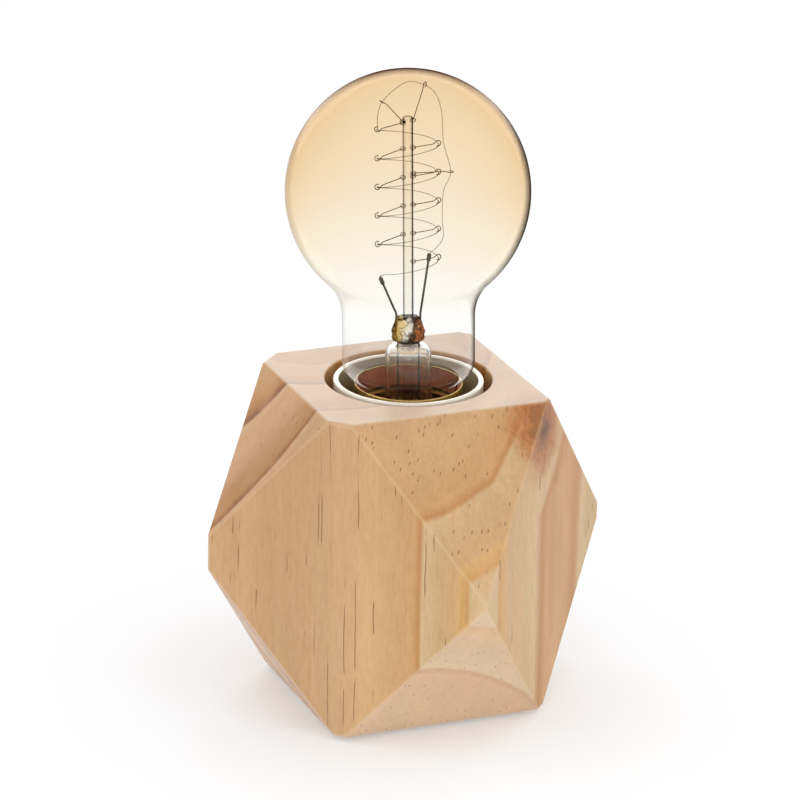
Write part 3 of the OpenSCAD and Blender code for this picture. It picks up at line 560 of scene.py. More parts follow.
def plastic_finish(name, light, dark, rough, pebble=500):
    f = Finish(name)
    patches = f.noise(70, detail=3)
    tone = f.mix(f.between(patches, 0.35, 0.7), light, dark)
    bump = f.bump(f.noise(pebble, detail=2), 0.00006, 0.5)
    return f.done(f.skin(
        Base_Color=tone, Roughness=f.between(patches, 0.3, 0.7, rough, rough + 0.12), Normal=bump
    ))


def lead_finish(name, sheath, sheath_dark):
    """Sheath of a lead, with bare copper strands where it is stripped inside its terminals."""
    f = Finish(name)
    x, y, z = f.parts(f.place)
    bare_top = f.math("GREATER_THAN", z, TERMINAL_STRIP[0] * MM)
    outer = f.math("GREATER_THAN", f.math("ABSOLUTE", x), TERMINAL_STRIP[1] * MM)
    beyond = f.math("GREATER_THAN", y, CONNECTOR_STRIP[0] * MM)
    bare_foot = f.math("LESS_THAN", z, CONNECTOR_STRIP[1] * MM)
    bare = f.math("MAXIMUM", f.times(bare_top, outer), f.times(beyond, bare_foot))
    strands = f.noise(3000, stretch=(1, 0.05, 1), detail=1)
    copper = f.mix(f.between(strands, 0.4, 0.6), paint(214, 128, 86), paint(140, 70, 42))
    scuff = f.noise(300, detail=3)
    cover = f.mix(f.between(scuff, 0.4, 0.7), sheath, sheath_dark)
    return f.done(f.skin(
        Base_Color=f.mix(bare, cover, copper), Metallic=bare, Roughness=f.between(scuff, 0.3, 0.7, 0.3, 0.45),
        Normal=f.bump(f.noise(900, detail=2), 0.00003, 0.4)
    ))


# Heights between which the tint of the bulb's glass is given
GLASS_LEVELS = (0.0842, 0.1642)


def film_of_glass(name, tint, strengths, iors, edge, rim, low, right, top=0.0, top_edge=None):
    """Thin blown wall: light goes straight through, tinted more where it is seen edge on.

    Its outline is painted darker towards the edge colour, as a painted reflection of the studio: a little
    everywhere, more on the right and at the top, where the studio is darker."""
    f = Finish(name)
    facing = f.facing()
    across = f.math("MAXIMUM", f.minus(1.0, facing), 0.12)
    level = f.between(f.parts(f.place)[2], *GLASS_LEVELS)
    uneven = f.between(f.noise(45, detail=2), 0.3, 0.7, 0.94, 1.06)
    strength = f.times(f.ramp(level, strengths), uneven)
    depth = f.over(strength, f.math("POWER", across, 0.5))
    shares = [f.math("POWER", share, depth) for share in tint]
    colour = f.put("ShaderNodeCombineColor", dict(enumerate(shares)))[0]
    surface = f.put("ShaderNodeNewGeometry")
    behind = surface["Backfacing"]
    outward = f.stretched(surface["Normal"], f.minus(1.0, f.times(behind, 2.0)))
    # Painted dark outline, standing in for the darker studio seen at the glass's edges: more on the right and
    # on top
    rightness = f.between(f.rightward(outward), 0.5, 0.95)
    topness = f.between(f.parts(outward)[2], 0.6, 0.95)
    weight = f.plus(low, f.math("MAXIMUM", f.times(rightness, right), f.times(topness, top)))
    outline = f.times(f.between(facing, *rim), weight, clamp=True)
    colour = f.mix(outline, colour, f.mix(topness, edge, top_edge or edge))
    wave = f.bump(f.noise(70, detail=1), 0.0003, 0.12)
    through = f.put("ShaderNodeBsdfTransparent", {"Color": colour})[0]
    shine = f.put("ShaderNodeBsdfGlossy", {"Color": (1, 1, 1, 1), "Roughness": 0.02, "Normal": wave})[0]
    ior = f.plus(f.ramp(level, [(0.0, iors[0] - 1.0), (0.25, iors[1] - 1.0)]), 1.0)
    same_both_ways = f.put("ShaderNodeMix", {0: behind, 2: ior, 3: f.over(1.0, ior)})[0]
    glance = f.put("ShaderNodeFresnel", {"IOR": same_both_ways, "Normal": wave})[0]
    glance = f.times(glance, f.minus(1.0, outline))
    return f.done(f.put("ShaderNodeMixShader", {0: glance, 1: through, 2: shine})[0])


def inner_wall_finish():
    """Inner face of the bulb's wall, which in thin glass adds next to nothing to what the outer one shows."""
    f = Finish("inner_wall_of_glass")
    drift = f.noise(45, detail=2)
    colour = f.mix(drift, (0.995, 0.99, 0.98, 1), (1, 0.998, 0.995, 1))
    return f.done(f.put("ShaderNodeBsdfTransparent", {"Color": colour})[0])


def pressed_glass_finish():
    """Thick pressed amber glass with painted reflections: gold on its left, a painted white highlight in
    front, brown to dark on its right, with painted dark streaks in it.
    """
    f = Finish("pressed_amber_glass")
    lump = f.noise(420, detail=2)
    across = f.rightward(f.place)
    facet = f.rightward(f.normal())
    side = f.plus(f.times(across, 200.0), f.times(facet, 0.25))
    side = f.plus(side, f.times(f.minus(lump, 0.5), 1.1))
    # Painted reflections by side: a white highlight in front, dark patches to its right, gold and brown at
    # the sides
    tone = f.ramp(f.between(side, -1.0, 1.0), [
        (0.0, paint(96, 74, 30)), (0.12, paint(222, 176, 76)), (0.3, paint(246, 226, 160)),
        (0.42, paint(255, 252, 244)), (0.54, paint(255, 250, 240)), (0.6, paint(96, 56, 30)),
        (0.68, paint(48, 28, 16)), (0.76, paint(206, 128, 66)), (0.9, paint(172, 104, 54)),
        (1.0, paint(84, 46, 24))
    ])
    # Painted dark streaks, and dark bands at the top and foot, where the dark cap inside shows in the glass
    streak_noise = f.noise(380, detail=1, offset=(0.3, 0.1, 0.7))
    painted_dark_streak = f.between(f.math("ABSOLUTE", f.minus(streak_noise, 0.5)), 0.012, 0.03, 1.0, 0.0)
    height = f.parts(f.place)[2]
    low = (CAP_RIM_Z + PINCH_Z) * MM
    high = low + PINCH_H * MM
    at_top = f.between(height, high - 0.0014, high - 0.0008)
    at_foot = f.between(height, low + 0.0012, low + 0.0006)
    ends = f.times(f.math("MAXIMUM", at_top, at_foot), f.between(lump, 0.42, 0.5))
    dark = f.math("MAXIMUM", f.times(painted_dark_streak, 0.7), ends)
    tone = f.mix(dark, tone, paint(34, 26, 14))
    return f.done(f.skin(
        Base_Color=tone, Roughness=0.03, IOR=1.2, Transmission_Weight=0.6, Normal=f.bump(lump, 0.0003, 0.7)
    ))


def stem_glass_finish():
    """Clear worked glass whose shoulder catches the light from above."""
    f = Finish("clear_stem_glass")
    facing = f.facing()
    flow = f.noise(160, stretch=(1, 1, 0.3), detail=2)
    # Painted darker outline where the glass is seen edge on
    tone = f.mix(f.between(facing, 0.7, 0.97, 0.0, 0.6), (0.99, 0.975, 0.96, 1), paint(176, 156, 136))
    upward = f.parts(f.normal())[2]
    shoulder = f.between(upward, 0.25, 0.9, 1.55, 4.0)
    return f.done(f.skin(
        Base_Color=tone, Roughness=0.02, IOR=1.12, Transmission_Weight=1.0, Specular_Tint=(1, 0.88, 0.78, 1),
        Coat_Weight=1.0, Coat_Roughness=0.03, Coat_IOR=shoulder, Normal=f.bump(flow, 0.0004, 0.4)
    ))


def drawn_tube_finish():
    """Thin drawn tube that bends what is seen through it a little."""
    f = Finish("clear_drawn_tube")
    draw = f.noise(700, stretch=(1, 1, 0.05), detail=2)
    tone = f.mix(f.between(draw, 0.4, 0.6), (0.99, 0.96, 0.94, 1), (0.95, 0.92, 0.9, 1))
    return f.done(f.skin(
        Base_Color=tone, Roughness=0.03, IOR=1.08, Transmission_Weight=1.0, Normal=f.bump(draw, 0.00005, 0.3)
    ))


PINE = pine_finish()
PORCELAIN = porcelain_finish()
CAP_BRASS = metal_finish(
    "rolled_brass_cap", paint(196, 164, 92), paint(150, 118, 60), 0.22, stain=paint(180, 94, 58),
    stain_inside=0.0122
)
SHELL_BRASS = metal_finish("rolled_brass_shell", paint(200, 166, 92), paint(158, 124, 62), 0.26)
BRASS = metal_finish("machined_brass", paint(214, 178, 100), paint(176, 138, 70), 0.24, turned=False)
ZINC = metal_finish("zinc_plated_steel", paint(196, 198, 202), paint(150, 152, 158), 0.26, turned=False)
SCREW_STEEL = metal_finish("bright_screw_steel", paint(206, 206, 208), paint(146, 146, 150), 0.2)
SOLDER = metal_finish("tin_solder", paint(186, 187, 190), paint(128, 129, 134), 0.3, turned=False)
NICKEL = metal_finish("dull_nickel_wire", paint(104, 98, 92), paint(52, 46, 42), 0.34, turned=False)
DARK_WIRE = metal_finish("dark_support_wire", paint(150, 118, 84), paint(84, 60, 40), 0.42, turned=False)
TUNGSTEN = metal_finish("wound_tungsten", paint(122, 92, 62), paint(78, 56, 38), 0.4, turned=False)
NYLON = plastic_finish("white_nylon", paint(233, 231, 223), paint(222, 218, 207), 0.34)
RUBBER = plastic_finish("black_rubber_foot", paint(42, 41, 40), paint(27, 26, 26), 0.62, pebble=900)
BLACK_GLASS = plastic_finish("black_cap_glass", paint(24, 22, 26), paint(12, 11, 14), 0.12, pebble=300)
CEMENT = plastic_finish("dark_cap_cement", paint(190, 108, 68), paint(150, 78, 46), 0.5, pebble=1400)
BROWN_LEAD = lead_finish("brown_lead", paint(108, 58, 32), paint(84, 42, 22))
BLUE_LEAD = lead_finish("blue_lead", paint(42, 88, 160), paint(28, 64, 126))

AMBER_STRENGTHS = [
    (0.0, 0.02), (0.15, 0.04), (0.215, 0.10), (0.285, 0.2), (0.41, 0.42), (0.48, 0.74), (0.545, 1.0),
    (0.61, 1.24), (0.675, 1.46), (0.74, 1.54), (0.8, 1.56), (0.9, 1.5), (1.0, 1.45)
]
# edge and top_edge are the colours of the painted dark outline
BULB_GLASS = film_of_glass(
    "amber_bulb_glass", (0.964, 0.895, 0.787), AMBER_STRENGTHS, (1.5, 1.12), edge=paint(112, 100, 80),
    rim=(0.66, 0.87), low=0.24, right=0.72, top=0.76, top_edge=paint(140, 104, 58)
)
INNER_WALL = inner_wall_finish()
STEM_GLASS = stem_glass_finish()
ROD_GLASS = film_of_glass(
    "clear_rod_glass", (0.95, 0.93, 0.9), [(0.0, 0.6), (1.0, 0.6)], (1.15, 1.15), edge=paint(84, 66, 46),
    rim=(0.2, 0.5), low=0.5, right=0.5
)
PINCH_GLASS = pressed_glass_finish()
TUBE_GLASS = drawn_tube_finish()

# ---------------- mesh helpers


def scaled(points):
    return [Vector(p) * MM for p in points]


def mesh_from(name, build, smooth_below=None):
    """Mesh from a function that fills a bmesh, with its faces outward and smooth but for its sharp edges."""
    shell = bmesh.new()
    build(shell)
    bmesh.ops.remove_doubles(shell, verts=shell.verts, dist=1e-7)
    bmesh.ops.recalc_face_normals(shell, faces=shell.faces)
    mesh = bpy.data.meshes.new(name)
    shell.to_mesh(mesh)
    shell.free()
    if smooth_below is not None:
        smooth(mesh, smooth_below)
    return mesh


def lathe(name, profile, steps, smooth_below=32, closed=True):
    """Turned mesh of [radius, height] points; a closed profile joins its last point to its first."""
    def build(shell):
        rings = []
        for radius, height in profile:
            if radius < 1e-6:
                rings.append([shell.verts.new((0, 0, height * MM))])
                continue
            ring = []
            for k in range(steps):
                turn = 2 * math.pi * k / steps
                place = (radius * MM * math.cos(turn), radius * MM * math.sin(turn), height * MM)
                ring.append(shell.verts.new(place))
            rings.append(ring)
        pairs = list(zip(rings, rings[1:] + (rings[:1] if closed else [])))
        for low, high in pairs:
            for k in range(steps):
                a, b = low[k % len(low)], low[(k + 1) % len(low)]
                c, d = high[(k + 1) % len(high)], high[k % len(high)]
                corners = list(dict.fromkeys((a, b, c, d)))
                if len(corners) > 2:
                    shell.faces.new(corners)
    return mesh_from(name, build, smooth_below)


def turned_solid(name, profile, steps):
    """Turned solid with flat faces, whose profile starts and ends on the axis."""
    return lathe(name, profile, steps=steps, smooth_below=None, closed=False)


def around(radius, degrees):
    """Point on a circle round the lamp's axis."""
    return radius * math.cos(math.radians(degrees)), radius * math.sin(math.radians(degrees))


def arc(centre, radius, start, end, count):
    turns = [math.radians(start + (end - start) * i / count) for i in range(count + 1)]
    return [(centre[0] + radius * math.cos(a), centre[1] + radius * math.sin(a)) for a in turns]


def with_material(mesh, finish):
    mesh.materials.clear()
    mesh.materials.append(finish)
    return mesh


def moved(mesh, *steps):
    for step in steps:
        mesh.transform(step)
    return mesh


def shift(x=0.0, y=0.0, z=0.0):
    return Matrix.Translation(Vector((x, y, z)) * MM)


def turned_about(axis, angle):
    return Matrix.Rotation(angle, 4, axis)


def joined_meshes(name, meshes):
    shell = bmesh.new()
    for mesh in meshes:
        shell.from_mesh(mesh)
    whole = bpy.data.meshes.new(name)
    for finish in meshes[0].materials:
        whole.materials.append(finish)
    shell.to_mesh(whole)
    shell.free()
    return whole


def piece(name, mesh, body, node, finish=None):
    """Puts a mesh in the scene: it rides on its body and stands for its CAD node."""
    if finish:
        with_material(mesh, finish)
    obj = linked(name, mesh)
    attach(obj, body)
    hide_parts(node)


NEARLY_FLAT = math.radians(0.02)
NEARLY_NOTHING = 1e-6


def cleaned(mesh):
    """Merges the slivers and many-sided faces that cutting leaves, so that the mesh stays closed."""
    shell = bmesh.new()
    shell.from_mesh(mesh)
    bmesh.ops.dissolve_limit(shell, angle_limit=NEARLY_FLAT, verts=shell.verts, edges=shell.edges)
    bmesh.ops.dissolve_degenerate(shell, dist=NEARLY_NOTHING, edges=shell.edges)
    many_sided = [face for face in shell.faces if len(face.verts) > 4]
    bmesh.ops.triangulate(shell, faces=many_sided, ngon_method="EAR_CLIP")
    bmesh.ops.dissolve_degenerate(shell, dist=NEARLY_NOTHING, edges=shell.edges)
    shell.to_mesh(mesh)
    shell.free()
    return mesh


def cut(mesh, cutters):
    """The mesh with the cutters' shapes taken out of it."""
    block = linked("being_cut", mesh)
    tools = []
    for cutter in cutters:
        tool = linked("cutter", cutter)
        step = block.modifiers.new("cut", "BOOLEAN")
        step.operation = "DIFFERENCE"
        step.solver = "EXACT"
        step.object = tool
        tools.append(tool)
    result = applied(block)
    for obj in tools + [block]:
        bpy.data.objects.remove(obj)
    return cleaned(result)


def evened(mesh):
    """Weighted normals, so that flat faces stay flat beside rounded edges."""
    holder = linked("being_evened", mesh)
    smooth(mesh, 40)
    step = holder.modifiers.new("even", "WEIGHTED_NORMAL")
    step.keep_sharp = True
    step.weight = 100
    result = applied(holder)
    bpy.data.objects.remove(holder)
    return result


def finish_node(name, material):
    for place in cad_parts[name].material_slots:
        place.material = material


# ---------------- wood block


BLOCK_MIDDLE = Vector((0, 0, FOOT_T + BLOCK_H / 2))


def block_planes():
    """Outward directions and distances, from the block's middle, of its six sides and eight corner cuts."""
    half = (BLOCK_W / 2, BLOCK_W / 2, BLOCK_H / 2)
    planes = []
    for axis in range(3):
        for side in (-1, 1):
            way = Vector((0, 0, 0))
            way[axis] = side
            planes.append((way, half[axis]))
    for corner, short in CORNER_CUTS.items():
        way = Vector([c / h for c, h in zip(corner, half)])
        planes.append((way.normalized(), 2 / way.length + short))
    return planes


def corners_within(planes):
    """Corners of the solid that the planes enclose."""
    corners = []
    for i, (a, da) in enumerate(planes):
        for j, (b, db) in enumerate(planes[:i]):
            for c, dc in planes[:j]:
                det = a.dot(b.cross(c))
                if abs(det) < 1e-6:
                    continue
                p = (da * b.cross(c) + db * c.cross(a) + dc * a.cross(b)) / det
                if all(n.dot(p) <= d + 0.001 for n, d in planes):
                    corners.append(p)
    return corners


def rounded_block():
    """The block as the hull of small balls set in its corners, which rounds every edge alike."""
    inner = [(n, d - EDGE_ROUND) for n, d in block_planes()]
    levels = [math.radians(7.5 * i) for i in range(-12, 13)]
    turns = [math.radians(7.5 * k) for k in range(48)]
    ball = [
        Vector((math.cos(a) * math.cos(b), math.sin(a) * math.cos(b), math.sin(b)))
        for b in levels for a in turns
    ]

    def build(shell):
        for corner in corners_within(inner):
            for way in ball:
                shell.verts.new((corner + BLOCK_MIDDLE + EDGE_ROUND * way) * MM)
        bmesh.ops.remove_doubles(shell, verts=shell.verts, dist=1e-6)
        bmesh.ops.convex_hull(shell, input=shell.verts)
        bmesh.ops.delete(shell, geom=[v for v in shell.verts if not v.link_faces], context="VERTS")
        bmesh.ops.dissolve_limit(shell, angle_limit=math.radians(0.3), verts=shell.verts, edges=shell.edges)
    return mesh_from("rounded_block", build)


def in_inlet(mesh):
    """Lays a mesh that was turned round Z along the inlet's bore, from the middle to the back."""
    return moved(mesh, turned_about("X", -math.pi / 2), shift(z=BUSH_Z))


def block_cutters():
    lip = 0.5
    plate_r = PLATE_R + 0.3
    bush_r = BUSH_R + 0.05
    flange_r = BUSH_FLANGE_R + 0.15
    flange_y = BLOCK_W / 2 - BUSH_FLANGE_T
    stack = turned_solid("block_cutter", [
        (0, -1), (plate_r, -1), (plate_r, PLATE_TOP), (CAVITY_R, PLATE_TOP), (CAVITY_R, CAVITY_TOP),
        (NIPPLE_HOLE_R, CAVITY_TOP), (NIPPLE_HOLE_R, SEAT_Z), (BORE_R, SEAT_Z), (BORE_R, WOOD_TOP - lip),
        (BORE_R + 0.15, WOOD_TOP - 0.2), (BORE_R + lip, WOOD_TOP + 0.02), (BORE_R + lip, WOOD_TOP + 3),
        (0, WOOD_TOP + 3)
    ], 128)
    inlet = turned_solid("inlet_cutter", [
        (0, 5), (bush_r, 5), (bush_r, flange_y), (flange_r, flange_y), (flange_r, BLOCK_W), (0, BLOCK_W)
    ], 64)
    holes = []
    for turn in PLATE_SCREW_TURNS:
        hole = turned_solid("screw_hole", [(0, PLATE_Z), (PILOT_R, PLATE_Z), (PILOT_R, 14.5), (0, 14.5)], 24)
        holes.append(moved(hole, shift(*around(PLATE_SCREW_R, turn))))
    return [stack, in_inlet(inlet), *holes]


def mark_edges(mesh, planes):
    """Attribute for the painted edge highlight: 1 on the rounded edges, fading to 0 on the flat sides."""
    marks = mesh.attributes.new("sanded_edge", "FLOAT", "FACE")
    for mark, face in zip(marks.data, mesh.polygons):
        turn = min(way.angle(face.normal, math.pi) for way, _ in planes)
        outside = max(way.dot(face.center / MM - BLOCK_MIDDLE) - d for way, d in planes) > -1.2
        mark.value = min(1.0, turn / math.radians(12)) if outside else 0.0
    return mesh


def make_wood_block():
    block = evened(cut(rounded_block(), block_cutters()))
    piece("wood_block_rounded", mark_edges(block, block_planes()), "lamp_base", "wood_block", PINE)


# ---------------- repeated and rule-made shapes


def screw_shape():
    """Screws on the base's points: a head with a slot, its shank upward, each turned by chance."""
    s = Shape(
        "slotted_screws", Shank_Radius=0.0012, Length=0.01, Head_Radius=0.0022, Neck_Radius=0.0012,
        Head_Height=0.001, Slot_Width=0.0005, Slot_Depth=0.0005, Flip=0.0, Seed=3
    )
    head = s.put("GeometryNodeMeshCone", {
        "Vertices": 40, "Radius Top": s.size("Neck_Radius"), "Radius Bottom": s.size("Head_Radius"),
        "Depth": s.size("Head_Height")
    })["Mesh"]
    # The shank starts inside the head, deeper than the slot
    root = s.times(s.size("Head_Height"), 0.9)
    shank_length = s.minus(s.size("Length"), root)
    shank = s.put("GeometryNodeMeshCylinder", {
        "Vertices": 28, "Radius": s.times(s.size("Shank_Radius"), 0.99), "Depth": shank_length
    })["Mesh"]
    middle = s.plus(root, s.times(shank_length, 0.5))
    raised = s.put("GeometryNodeTransform", {"Geometry": shank, "Translation": s.joined(z=middle)})[0]
    slot_depth = s.times(s.size("Slot_Depth"), 2.0)
    slot_size = s.joined(s.times(s.size("Head_Radius"), 3.0), s.size("Slot_Width"), slot_depth)
    slot = s.put("GeometryNodeMeshCube", {"Size": slot_size})["Mesh"]
    slotted = s.put(
        "GeometryNodeMeshBoolean", {"Mesh 1": head, "Mesh 2": slot}, operation="DIFFERENCE"
    )["Mesh"]
    whole = s.put("GeometryNodeJoinGeometry")
    s.give(whole[0].node.inputs[0], slotted)
    s.give(whole[0].node.inputs[0], raised)
    spin = s.put("FunctionNodeRandomValue", {"Seed": s.size("Seed"), 2: 0.0, 3: math.pi}, data_type="FLOAT")
    turn = s.joined(s.times(s.size("Flip"), math.pi), 0.0, spin[1])
    placed = s.put("GeometryNodeInstanceOnPoints", {
        "Points": s.given["Base"], "Instance": whole[0], "Rotation": turn
    })[0]
    s.done(placed)
    return s


def thread_shape():
    """Rolled thread: each point of a turned sheet moves out or in as the helix passes it."""
    s = Shape("rolled_thread", Depth=0.00055, Pitch=0.003629, Low=0.0, High=0.02, Fade=0.0015, Ends=-1.0)
    place = s.put("GeometryNodeInputPosition")[0]
    x, y, z = s.parts(place)
    phase = s.minus(s.over(s.times(z, 2 * math.pi), s.size("Pitch")), s.math("ARCTAN2", y, x))
    above = s.over(s.minus(z, s.size("Low")), s.size("Fade"))
    below = s.over(s.minus(s.size("High"), z), s.size("Fade"))
    full = s.math("MINIMUM", above, below, clamp=True)
    inside = s.times(s.math("GREATER_THAN", above, -0.001), s.math("GREATER_THAN", below, -0.001))
    wave = s.times(s.math("COSINE", phase), full)
    rest = s.times(s.size("Ends"), s.minus(1.0, full))
    out = s.times(s.times(s.plus(wave, rest), s.size("Depth")), inside)
    push = s.stretched(s.vector("NORMALIZE", s.joined(x, y)), out)
    pushed = s.put("GeometryNodeSetPosition", {"Geometry": s.given["Base"], "Offset": push})
    s.done(pushed[0])
    return s


def piped(s, path, radius, sides):
    """Smooth closed tube along a curve."""
    section = s.put("GeometryNodeCurvePrimitiveCircle", {"Resolution": sides, "Radius": radius})[0]
    tube = s.put("GeometryNodeCurveToMesh", {"Curve": path, "Profile Curve": section, "Fill Caps": True})[0]
    return s.put("GeometryNodeSetShadeSmooth", {"Geometry": tube})[0]


def wire_shape():
    """Round wire along the base's edges."""
    s = Shape("drawn_wire", Radius=0.00015, Sides=8)
    path = s.put("GeometryNodeMeshToCurve", {"Mesh": s.given["Base"]})[0]
    s.done(piped(s, path, s.size("Radius"), s.size("Sides")))
    return s


def coil_shape():
    """Fine spiral wound along the base's edges, as filament wire is."""
    s = Shape("wound_filament", Coil_Radius=0.0001, Coil_Pitch=0.00022, Wire_Radius=0.00003, Steps=9)
    path = s.put("GeometryNodeMeshToCurve", {"Mesh": s.given["Base"]})[0]
    step = s.over(s.size("Coil_Pitch"), s.size("Steps"))
    fine = s.put("GeometryNodeResampleCurve", {"Curve": path, "Length": step}, mode="LENGTH")[0]
    length = s.put("GeometryNodeSplineParameter")["Length"]
    angle = s.over(s.times(length, 2 * math.pi), s.size("Coil_Pitch"))
    normal = s.put("GeometryNodeInputNormal")[0]
    tangent = s.put("GeometryNodeInputTangent")[0]
    side = s.vector("CROSS_PRODUCT", tangent, normal)
    one = s.stretched(normal, s.times(s.math("COSINE", angle), s.size("Coil_Radius")))
    other = s.stretched(side, s.times(s.math("SINE", angle), s.size("Coil_Radius")))
    wound = s.put("GeometryNodeSetPosition", {"Geometry": fine, "Offset": s.vector("ADD", one, other)})[0]
    s.done(piped(s, wound, s.size("Wire_Radius"), 3))
    return s


SCREWS = screw_shape()
THREAD = thread_shape()
WIRE = wire_shape()
COIL = coil_shape()


def points_mesh(places):
    mesh = bpy.data.meshes.new("places")
    mesh.from_pydata(scaled(places), [], [])
    return mesh


def path_mesh(paths):
    """Mesh of edges only, one chain for each path."""
    points = []
    edges = []
    for path in paths:
        start = len(points)
        points += path
        edges += [(i, i + 1) for i in range(start, len(points) - 1)]
    mesh = bpy.data.meshes.new("paths")
    mesh.from_pydata(scaled(points), edges, [])
    return mesh


def make_screws(name, node, places, sizes, seed, countersunk=False, flip=0.0):
    """Screws at the given places; a cheese head lies under its place, a countersunk one over it.

    Their sizes are the head's radius and height, and the shank's radius and length."""
    head_r, head_h, shank_r, length = sizes
    if not countersunk:
        places = [(x, y, z + (head_h if flip else -head_h)) for x, y, z in places]
    mesh = SCREWS.grow(
        points_mesh(places), SCREW_STEEL, Head_Radius=head_r * MM, Head_Height=head_h * MM,
        Neck_Radius=(shank_r if countersunk else head_r) * MM, Shank_Radius=shank_r * MM,
        Length=(length + (0 if countersunk else head_h)) * MM, Slot_Width=0.5 * MM,
        Slot_Depth=min(0.6, 0.5 * head_h) * MM, Flip=flip, Seed=seed
    )
    smooth(mesh, 35)
    piece(name, mesh, "lamp_base", node)


# ---------------- base, feet and inlet


def make_feet():
    edge = 0.35
    dish = 0.25
    foot = lathe("foot", [
        (0, dish), (1.8, dish), (2.2, 0), *arc((FOOT_R - edge, edge), edge, 270, 360, 5), (FOOT_R, FOOT_T),
        (0, FOOT_T)
    ], steps=48, closed=False)
    feet = [moved(foot.copy(), shift(*around(FOOT_RING_R, 90 * i))) for i in range(4)]
    mesh = joined_meshes("feet", feet)
    smooth(mesh, 40)
    piece("rubber_feet", mesh, "lamp_base", "feet", RUBBER)


def make_base_plate():
    soft = 0.25
    disc = turned_solid("disc", [
        (0, PLATE_Z), *arc((PLATE_R - soft, PLATE_Z + soft), soft, 270, 360, 4),
        *arc((PLATE_R - soft, PLATE_TOP - soft), soft, 0, 90, 4), (0, PLATE_TOP)
    ], 160)
    cutters = []
    for place in [around(PLATE_SCREW_R, turn) for turn in PLATE_SCREW_TURNS] + [(0, 0)]:
        hole = turned_solid("countersink", [
            (0, 0), (COUNTERSINK_R, 0), (COUNTERSINK_R, PLATE_Z), (PILOT_R, PLATE_Z + 1.0), (PILOT_R, 5),
            (0, 5)
        ], 40)
        cutters.append(moved(hole, shift(*place)))
    piece("steel_base_plate", evened(cut(disc, cutters)), "lamp_base", "base_plate", ZINC)


def make_cord_bush():
    face = BLOCK_W / 2
    seat = face - BUSH_FLANGE_T
    ease = 0.4
    brim = 0.5
    mouth = 0.8
    bush = lathe("bush", [
        (BUSH_BORE_R, BUSH_START + ease), (BUSH_BORE_R + ease, BUSH_START), (BUSH_R - 0.2, BUSH_START),
        (BUSH_R, BUSH_START + 0.2), (BUSH_R, seat), (BUSH_FLANGE_R, seat),
        *arc((BUSH_FLANGE_R - brim, face - brim), brim, 0, 90, 5),
        *arc((BUSH_BORE_R + mouth, face - mouth), mouth, 90, 180, 6)
    ], steps=72)
    piece("nylon_cord_bush", in_inlet(bush), "lamp_base", "cord_bush", NYLON)


# ---------------- lampholder


def make_sleeve():
    wall = 14.5
    rim = 0.6
    floor = RIM_Z - MOUTH_DEPTH
    profile = [
        (wall, SLEEVE_Z), *arc((SLEEVE_R - 0.3, SLEEVE_Z + 0.3), 0.3, 270, 360, 3),
        *arc((SLEEVE_R - rim, RIM_Z - rim), rim, 0, 90, 8),
        *arc((SLEEVE_MOUTH_R + rim, RIM_Z - rim), rim, 90, 180, 8),
        *arc((SLEEVE_MOUTH_R - 0.5, floor + 0.5), 0.5, 0, -90, 4),
        *arc((wall + 0.3, floor - 0.3), 0.3, 90, 180, 3)
    ]
    sleeve = lathe("sleeve", profile, steps=160)
    piece("porcelain_sleeve", sleeve, "lamp_base", "holder_sleeve", PORCELAIN)


def sheet_rows(low, high, radius, per_pitch=14):
    count = math.ceil((high - low) * per_pitch / THREAD_PITCH)
    return [(radius, low + (high - low) * i / count) for i in range(count + 1)]


def rolled_sheet(name, profile, finish, low, high, ends):
    """Turned sheet with the thread rolled into it between two heights."""
    return THREAD.grow(
        lathe(name, profile, steps=128), finish, Depth=THREAD_DEPTH * MM, Pitch=THREAD_PITCH * MM,
        Low=low * MM, High=high * MM, Fade=1.5 * MM, Ends=ends
    )


def make_shell():
    sheet = 0.4
    foot_r = 9.2
    wide = SHELL_MID_R + THREAD_DEPTH
    broad = wide + sheet
    low, high = SLEEVE_Z + 5.5, SHELL_TOP - 1
    inner = sheet_rows(low, high, SHELL_MID_R)
    outer = [(radius + sheet, height) for radius, height in inner]
    profile = [
        (foot_r, SLEEVE_Z), (broad - 0.3, SLEEVE_Z), (broad, SLEEVE_Z + 0.3), (broad, low - 0.05), *outer,
        (broad, high + 0.05), (broad, SHELL_TOP), (wide, SHELL_TOP), (wide, high + 0.05), *reversed(inner),
        (wide, low - 0.05), (wide, SLEEVE_Z + 0.6), (wide - 0.2, SLEEVE_Z + 0.4), (foot_r, SLEEVE_Z + 0.4)
    ]
    shell = rolled_sheet("shell_sheet", profile, SHELL_BRASS, low, high, 1.0)
    piece("brass_screw_shell", shell, "lamp_base", "screw_shell")


def make_cap():
    sheet = 0.4
    root = CAP_MID_R - THREAD_DEPTH
    end = CAP_END_Z
    rim = CAP_RIM_Z
    low, high = end + 6.5, end + 20
    outer = sheet_rows(low, high, CAP_MID_R)
    inner = [(radius - sheet, height) for radius, height in outer]
    profile = [
        (8.8, end + 4.5), (root - 0.9, end + 5.6), (root - 0.2, end + 6.1), (root, low - 0.05), *outer,
        (root, high + 0.05), (SKIRT_R - 0.5, high + 0.7), (SKIRT_R, high + 1.2), (SKIRT_R, rim - 0.25),
        (SKIRT_R - 0.15, rim), (SKIRT_R - 0.35, rim), (SKIRT_R - sheet, rim - 0.25),
        (SKIRT_R - sheet, high + 1.3), (root - sheet, high + 0.15), *reversed(inner),
        (root - sheet, low - 0.05), (root - 1.3, end + 5.9), (8.4, end + 5)
    ]
    cap = rolled_sheet("cap_sheet", profile, CAP_BRASS, low, high, -1.0)
    piece("brass_bulb_cap", cap, "bulb", "bulb_cap")


